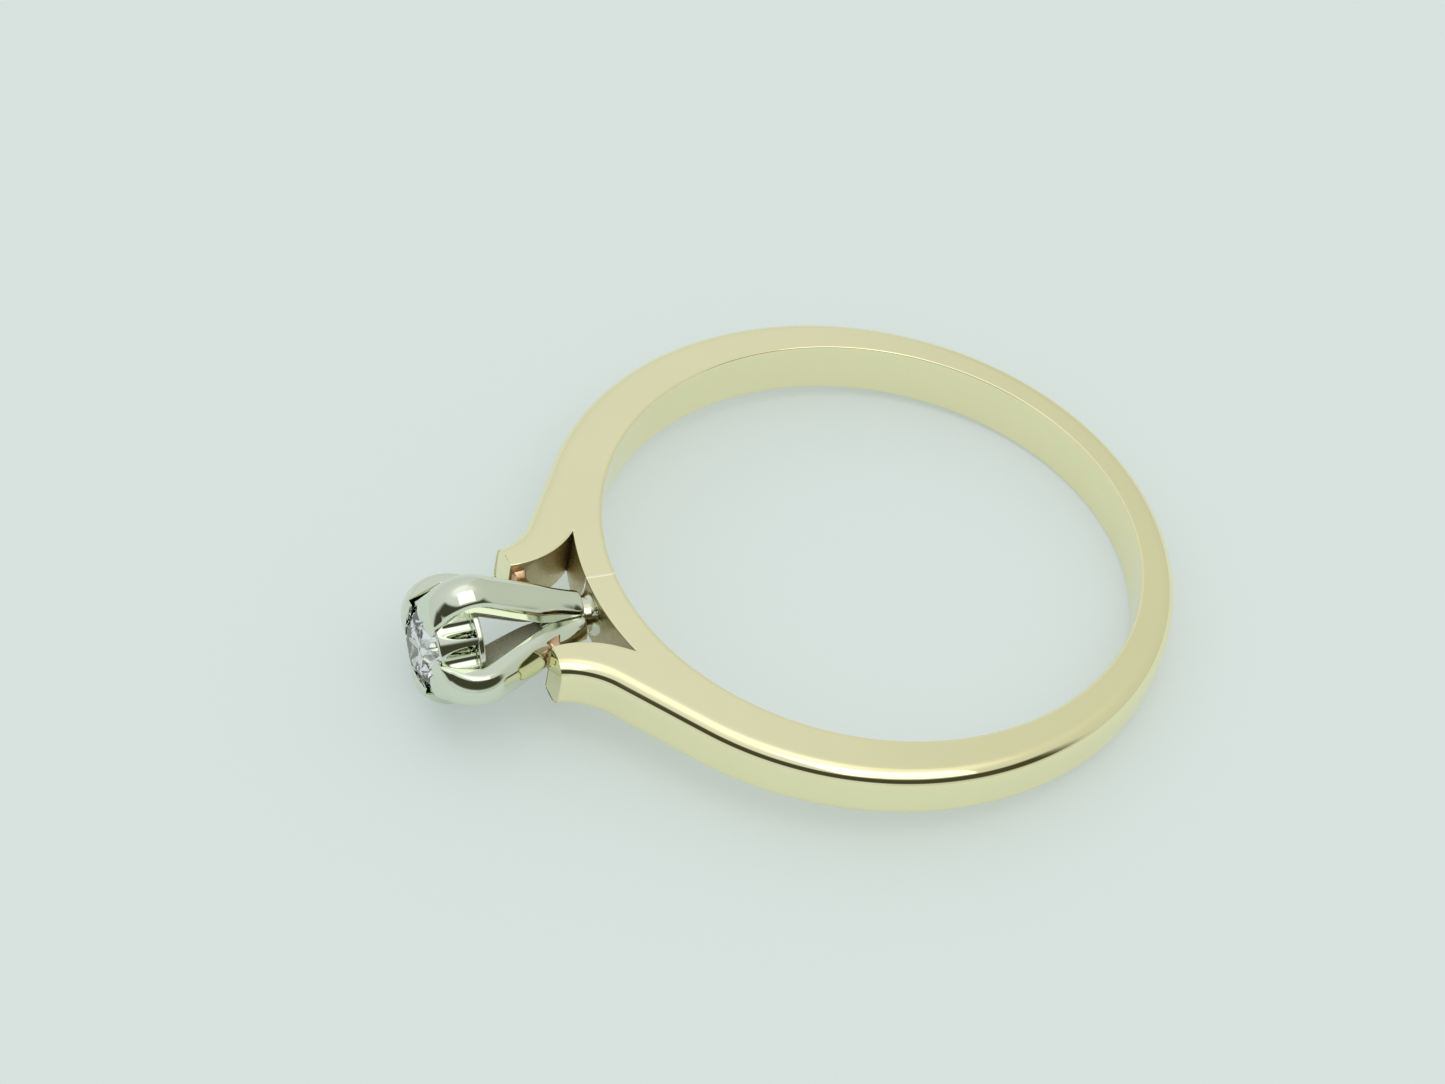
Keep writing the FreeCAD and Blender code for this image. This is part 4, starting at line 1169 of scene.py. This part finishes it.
@dataclass
class Studio:
    """Pale sheet, soft light, a darker side for the metal to mirror, and the camera.

    The stage is in metres and degrees; the camera's lens, distance and offsets are in
    millimetres. The offsets say how far the finger hole's centre lies to the right of the
    camera's axis and above it.
    """

    floor_color: tuple = (0.48, 0.523, 0.517)
    floor_glow: tuple = (0.272, 0.301, 0.298)
    floor_roughness: float = 0.65
    floor_specular: float = 0.2
    floor_size: float = 2.0
    head_contact: float = -0.0139
    back_contact: float = 0.0003
    sky: tuple = ((0.0, (0.84, 0.90, 0.89)), (0.70, (0.92, 0.965, 0.96)),
                  (0.86, (1.02, 1.05, 1.04)), (0.95, (1.45, 1.46, 1.45)))
    sky_strength: float = 0.78
    warm_side: tuple = (0.3887, 0.9098, 0.1452)
    warm_from: float = 0.19
    warm_to: float = 0.31
    warm_tint: tuple = (0.90, 0.895, 0.82)
    lamp_place: tuple = (0.20, 0.01, 0.41)
    lamp_color: tuple = (1.0, 1.0, 0.99)
    lamp_width: float = 0.30
    lamp_power: float = 0.22
    screen_azimuth: tuple = (2.0, 150.0)
    screen_elevation: tuple = (10.0, 42.0)
    screen_fade: tuple = (18.0, 5.0)
    screen_steps: tuple = (41, 13)
    screen_distance: float = 0.30
    screen_color: tuple = (0.055, 0.06, 0.035)
    azimuth: float = 58.5
    elevation: float = 44.76
    roll: float = 11.8
    lens: float = 99.654
    sensor: float = 36.0
    distance: float = 127.09
    hole_right: float = 4.6356
    hole_above: float = -0.3972

    def axes(self) -> tuple[Array, Array, Array]:
        """The camera's directions.

        Returns:
            Its right, up and forward.
        """
        az, el, ro = (math.radians(v) for v in (self.azimuth, self.elevation, self.roll))
        toward = np.array([math.sin(az) * math.cos(el), -math.cos(az) * math.cos(el),
                           math.sin(el)])
        flat = np.array([math.cos(az), math.sin(az), 0.0])
        upright = np.cross(toward, flat)
        right = math.cos(ro) * flat + math.sin(ro) * upright
        up = -math.sin(ro) * flat + math.cos(ro) * upright
        return right, up, -toward

    def camera(self) -> None:
        """Places the camera at its distance and offsets from the finger hole's centre."""
        right, up, forward = self.axes()
        place = (-self.hole_right * right - self.hole_above * up - self.distance * forward) * MM
        data = bpy.data.cameras.new("camera")
        data.sensor_fit = "HORIZONTAL"
        data.sensor_width, data.lens = self.sensor, self.lens
        data.clip_start, data.clip_end = 0.001, 20.0
        camera = placed("camera", data)
        turn = Matrix(np.stack([right, up, -forward], axis=1).tolist()).to_4x4()
        camera.matrix_world = Matrix.Translation(Vector(place.tolist())) @ turn
        bpy.context.scene.camera = camera

    def floor(self, contact: tuple[Array, Array]) -> None:
        """Lays the pale sheet so that it touches two points and runs level across the finger.

        Args:
            contact: The lowest points at the head and at the band's back, in metres.
        """
        head, back = contact
        slope = (back[2] - head[2]) / (back[1] - head[1])
        reach = self.floor_size / 2
        corners = np.array([[-reach, -reach], [reach, -reach], [reach, reach], [-reach, reach]])
        height = head[2] + (corners[:, 1] - head[1]) * slope
        points = np.column_stack([corners, height])
        mesh = bpy.data.meshes.new("sheet")
        mesh.from_pydata(points.tolist(), [], [(0, 1, 2, 3)])
        sheet = placed("sheet", mesh)
        material, _ = new_material("pale_sheet", {
            "Base Color": (*self.floor_color, 1.0), "Roughness": self.floor_roughness,
            "Specular IOR Level": self.floor_specular,
            "Emission Color": (*self.floor_glow, 1.0), "Emission Strength": 1.0})
        mesh.materials.append(material)

    def dark_side(self) -> None:
        """Builds the darker side of the room, a curved screen that only mirrors see.

        The screen is part of a sphere: distance (sin a cos e, -cos a cos e, sin e) over
        azimuths a and elevations e, and it clears towards its edges, where the sky shows.
        """
        spans = (self.screen_azimuth, self.screen_elevation)
        azimuth = np.radians(np.linspace(*spans[0], self.screen_steps[0]))[:, None]
        elevation = np.radians(np.linspace(*spans[1], self.screen_steps[1]))[None]
        grid = np.stack([np.sin(azimuth) * np.cos(elevation),
                         -np.cos(azimuth) * np.cos(elevation),
                         np.sin(elevation) + 0 * azimuth], -1) * self.screen_distance
        shell = Shell()
        shell.grid(grid / MM, close=False)
        screen = shell.build("dark_side")
        points = np.zeros(len(screen.data.vertices) * 3)
        screen.data.vertices.foreach_get("co", points)
        x, y, z = points.reshape(-1, 3).T
        angles = (np.degrees(np.arctan2(x, -y)), np.degrees(np.arcsin(z / self.screen_distance)))
        mask = 1.0
        for angle, (first, last), fade in zip(angles, spans, self.screen_fade):
            mask = mask * smooth_step(np.minimum(angle - first, last - angle) / fade)
        tone = screen.data.color_attributes.new("depth", "FLOAT_COLOR", "POINT")
        tone.data.foreach_set("color", np.repeat(mask, 4).astype(np.float32))
        material, shader = new_material("dark_side", {})
        nodes, links = material.node_tree.nodes, material.node_tree.links
        nodes.remove(shader)
        depth = nodes.new("ShaderNodeVertexColor")
        depth.layer_name = "depth"
        glow = nodes.new("ShaderNodeEmission")
        fill(glow, {"Color": (*self.screen_color, 1.0)})
        clear = nodes.new("ShaderNodeBsdfTransparent")
        blend = nodes.new("ShaderNodeMixShader")
        links.new(depth.outputs["Color"], blend.inputs[0])
        links.new(clear.outputs[0], blend.inputs[1])
        links.new(glow.outputs[0], blend.inputs[2])
        links.new(blend.outputs[0], nodes["Material Output"].inputs["Surface"])
        screen.data.materials.append(material)
        screen.visible_camera = False
        screen.visible_diffuse = False
        screen.visible_shadow = False
        screen.visible_transmission = False

    def light_sky(self) -> None:
        """Lights the room: brightest overhead, and a little warmer towards one side."""
        scene = bpy.context.scene
        world = bpy.data.worlds.new("studio")
        scene.world = world
        world.use_nodes = True
        nodes, links = world.node_tree.nodes, world.node_tree.links
        place = nodes.new("ShaderNodeTexCoord")
        split = nodes.new("ShaderNodeSeparateXYZ")
        ramp = nodes.new("ShaderNodeValToRGB")
        stops = ramp.color_ramp.elements
        for index, (height, color) in enumerate(self.sky):
            stop = stops[index] if index < 2 else stops.new(height)
            stop.position = height
            stop.color = (*color, 1.0)
        links.new(place.outputs["Generated"], split.inputs[0])
        links.new(split.outputs["Z"], ramp.inputs[0])
        aside = nodes.new("ShaderNodeVectorMath")
        aside.operation = "DOT_PRODUCT"
        aside.inputs[1].default_value = self.warm_side
        reach = nodes.new("ShaderNodeMapRange")
        reach.interpolation_type = "SMOOTHSTEP"
        fill(reach, {"From Min": self.warm_from, "From Max": self.warm_to})
        warm = nodes.new("ShaderNodeMix")
        warm.data_type = "RGBA"
        warm.blend_type = "MULTIPLY"
        warm.inputs["B"].default_value = (*self.warm_tint, 1.0)
        links.new(place.outputs["Generated"], aside.inputs[0])
        links.new(aside.outputs["Value"], reach.inputs["Value"])
        links.new(reach.outputs["Result"], warm.inputs["Factor"])
        links.new(ramp.outputs[0], warm.inputs["A"])
        links.new(warm.outputs["Result"], nodes["Background"].inputs["Color"])
        nodes["Background"].inputs["Strength"].default_value = self.sky_strength
        scene.view_settings.view_transform = "Standard"
        scene.view_settings.look = "None"

    def lamp(self) -> None:
        """Hangs a soft square lamp that faces the ring."""
        data = bpy.data.lights.new("ceiling", "AREA")
        data.size, data.energy = self.lamp_width, self.lamp_power
        data.color = self.lamp_color
        lamp = placed("ceiling", data)
        lamp.location = self.lamp_place
        lamp.rotation_mode = "QUATERNION"
        lamp.rotation_quaternion = Vector(self.lamp_place).to_track_quat("Z", "Y")

    def set_up(self) -> None:
        """Builds the sheet, the lights, the darker side and the camera."""
        head_low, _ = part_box("claw_lower")
        band_low, band_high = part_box("shank")
        head = np.array([0.0, self.head_contact, head_low.z])
        back = np.array([0.0, band_high.y - self.back_contact, band_low.z])
        self.floor((head, back))
        self.light_sky()
        self.lamp()
        self.dark_side()
        self.camera()


def main() -> None:
    """Builds the ring and its stage."""
    wear = polish_group()
    gold = PolishedMetal("polished_gold", (0.95, 0.89, 0.575)).make(wear)
    # Insides of the openings: rougher gold whose darker colour is painted shade.
    rough_shaded_gold = PolishedMetal("unpolished_gold_painted_shade", (0.56, 0.47, 0.29), roughness=0.30,
                               patch=0.5, marks=0.3, ripple=1.5).make(wear)
    white = PolishedMetal("white_gold", (0.76, 0.80, 0.67)).make(wear)
    # Insides of the claws under the cup: rougher white metal whose darker colour is painted
    # shade.
    dull_shaded_white = PolishedMetal("unpolished_white_painted_shade", (0.46, 0.45, 0.35), roughness=0.30,
                               patch=0.5, marks=0.3, ripple=1.2).make(wear)
    seam = PolishedMetal("seam_solder", (1.0, 0.97, 0.78), roughness=0.10).make(wear)
    gold_solder = PolishedMetal("gold_solder", (0.70, 0.47, 0.30), roughness=0.25).make(wear)
    white_solder = PolishedMetal("white_solder", (0.80, 0.80, 0.66), roughness=0.14).make(wear)
    stone = BrilliantStone().make()
    Band().dress(gold, rough_shaded_gold, seam)
    Foot().dress(white, white_solder, gold_solder)
    Claws().dress(white, dull_shaded_white)
    Collet().dress(white)
    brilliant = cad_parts["diamond"]
    brilliant.data.materials.clear()
    brilliant.data.materials.append(stone)
    log.info("%s: %d faces", brilliant.name, len(brilliant.data.polygons))
    Studio().set_up()


if __name__ == "__main__":
    main()
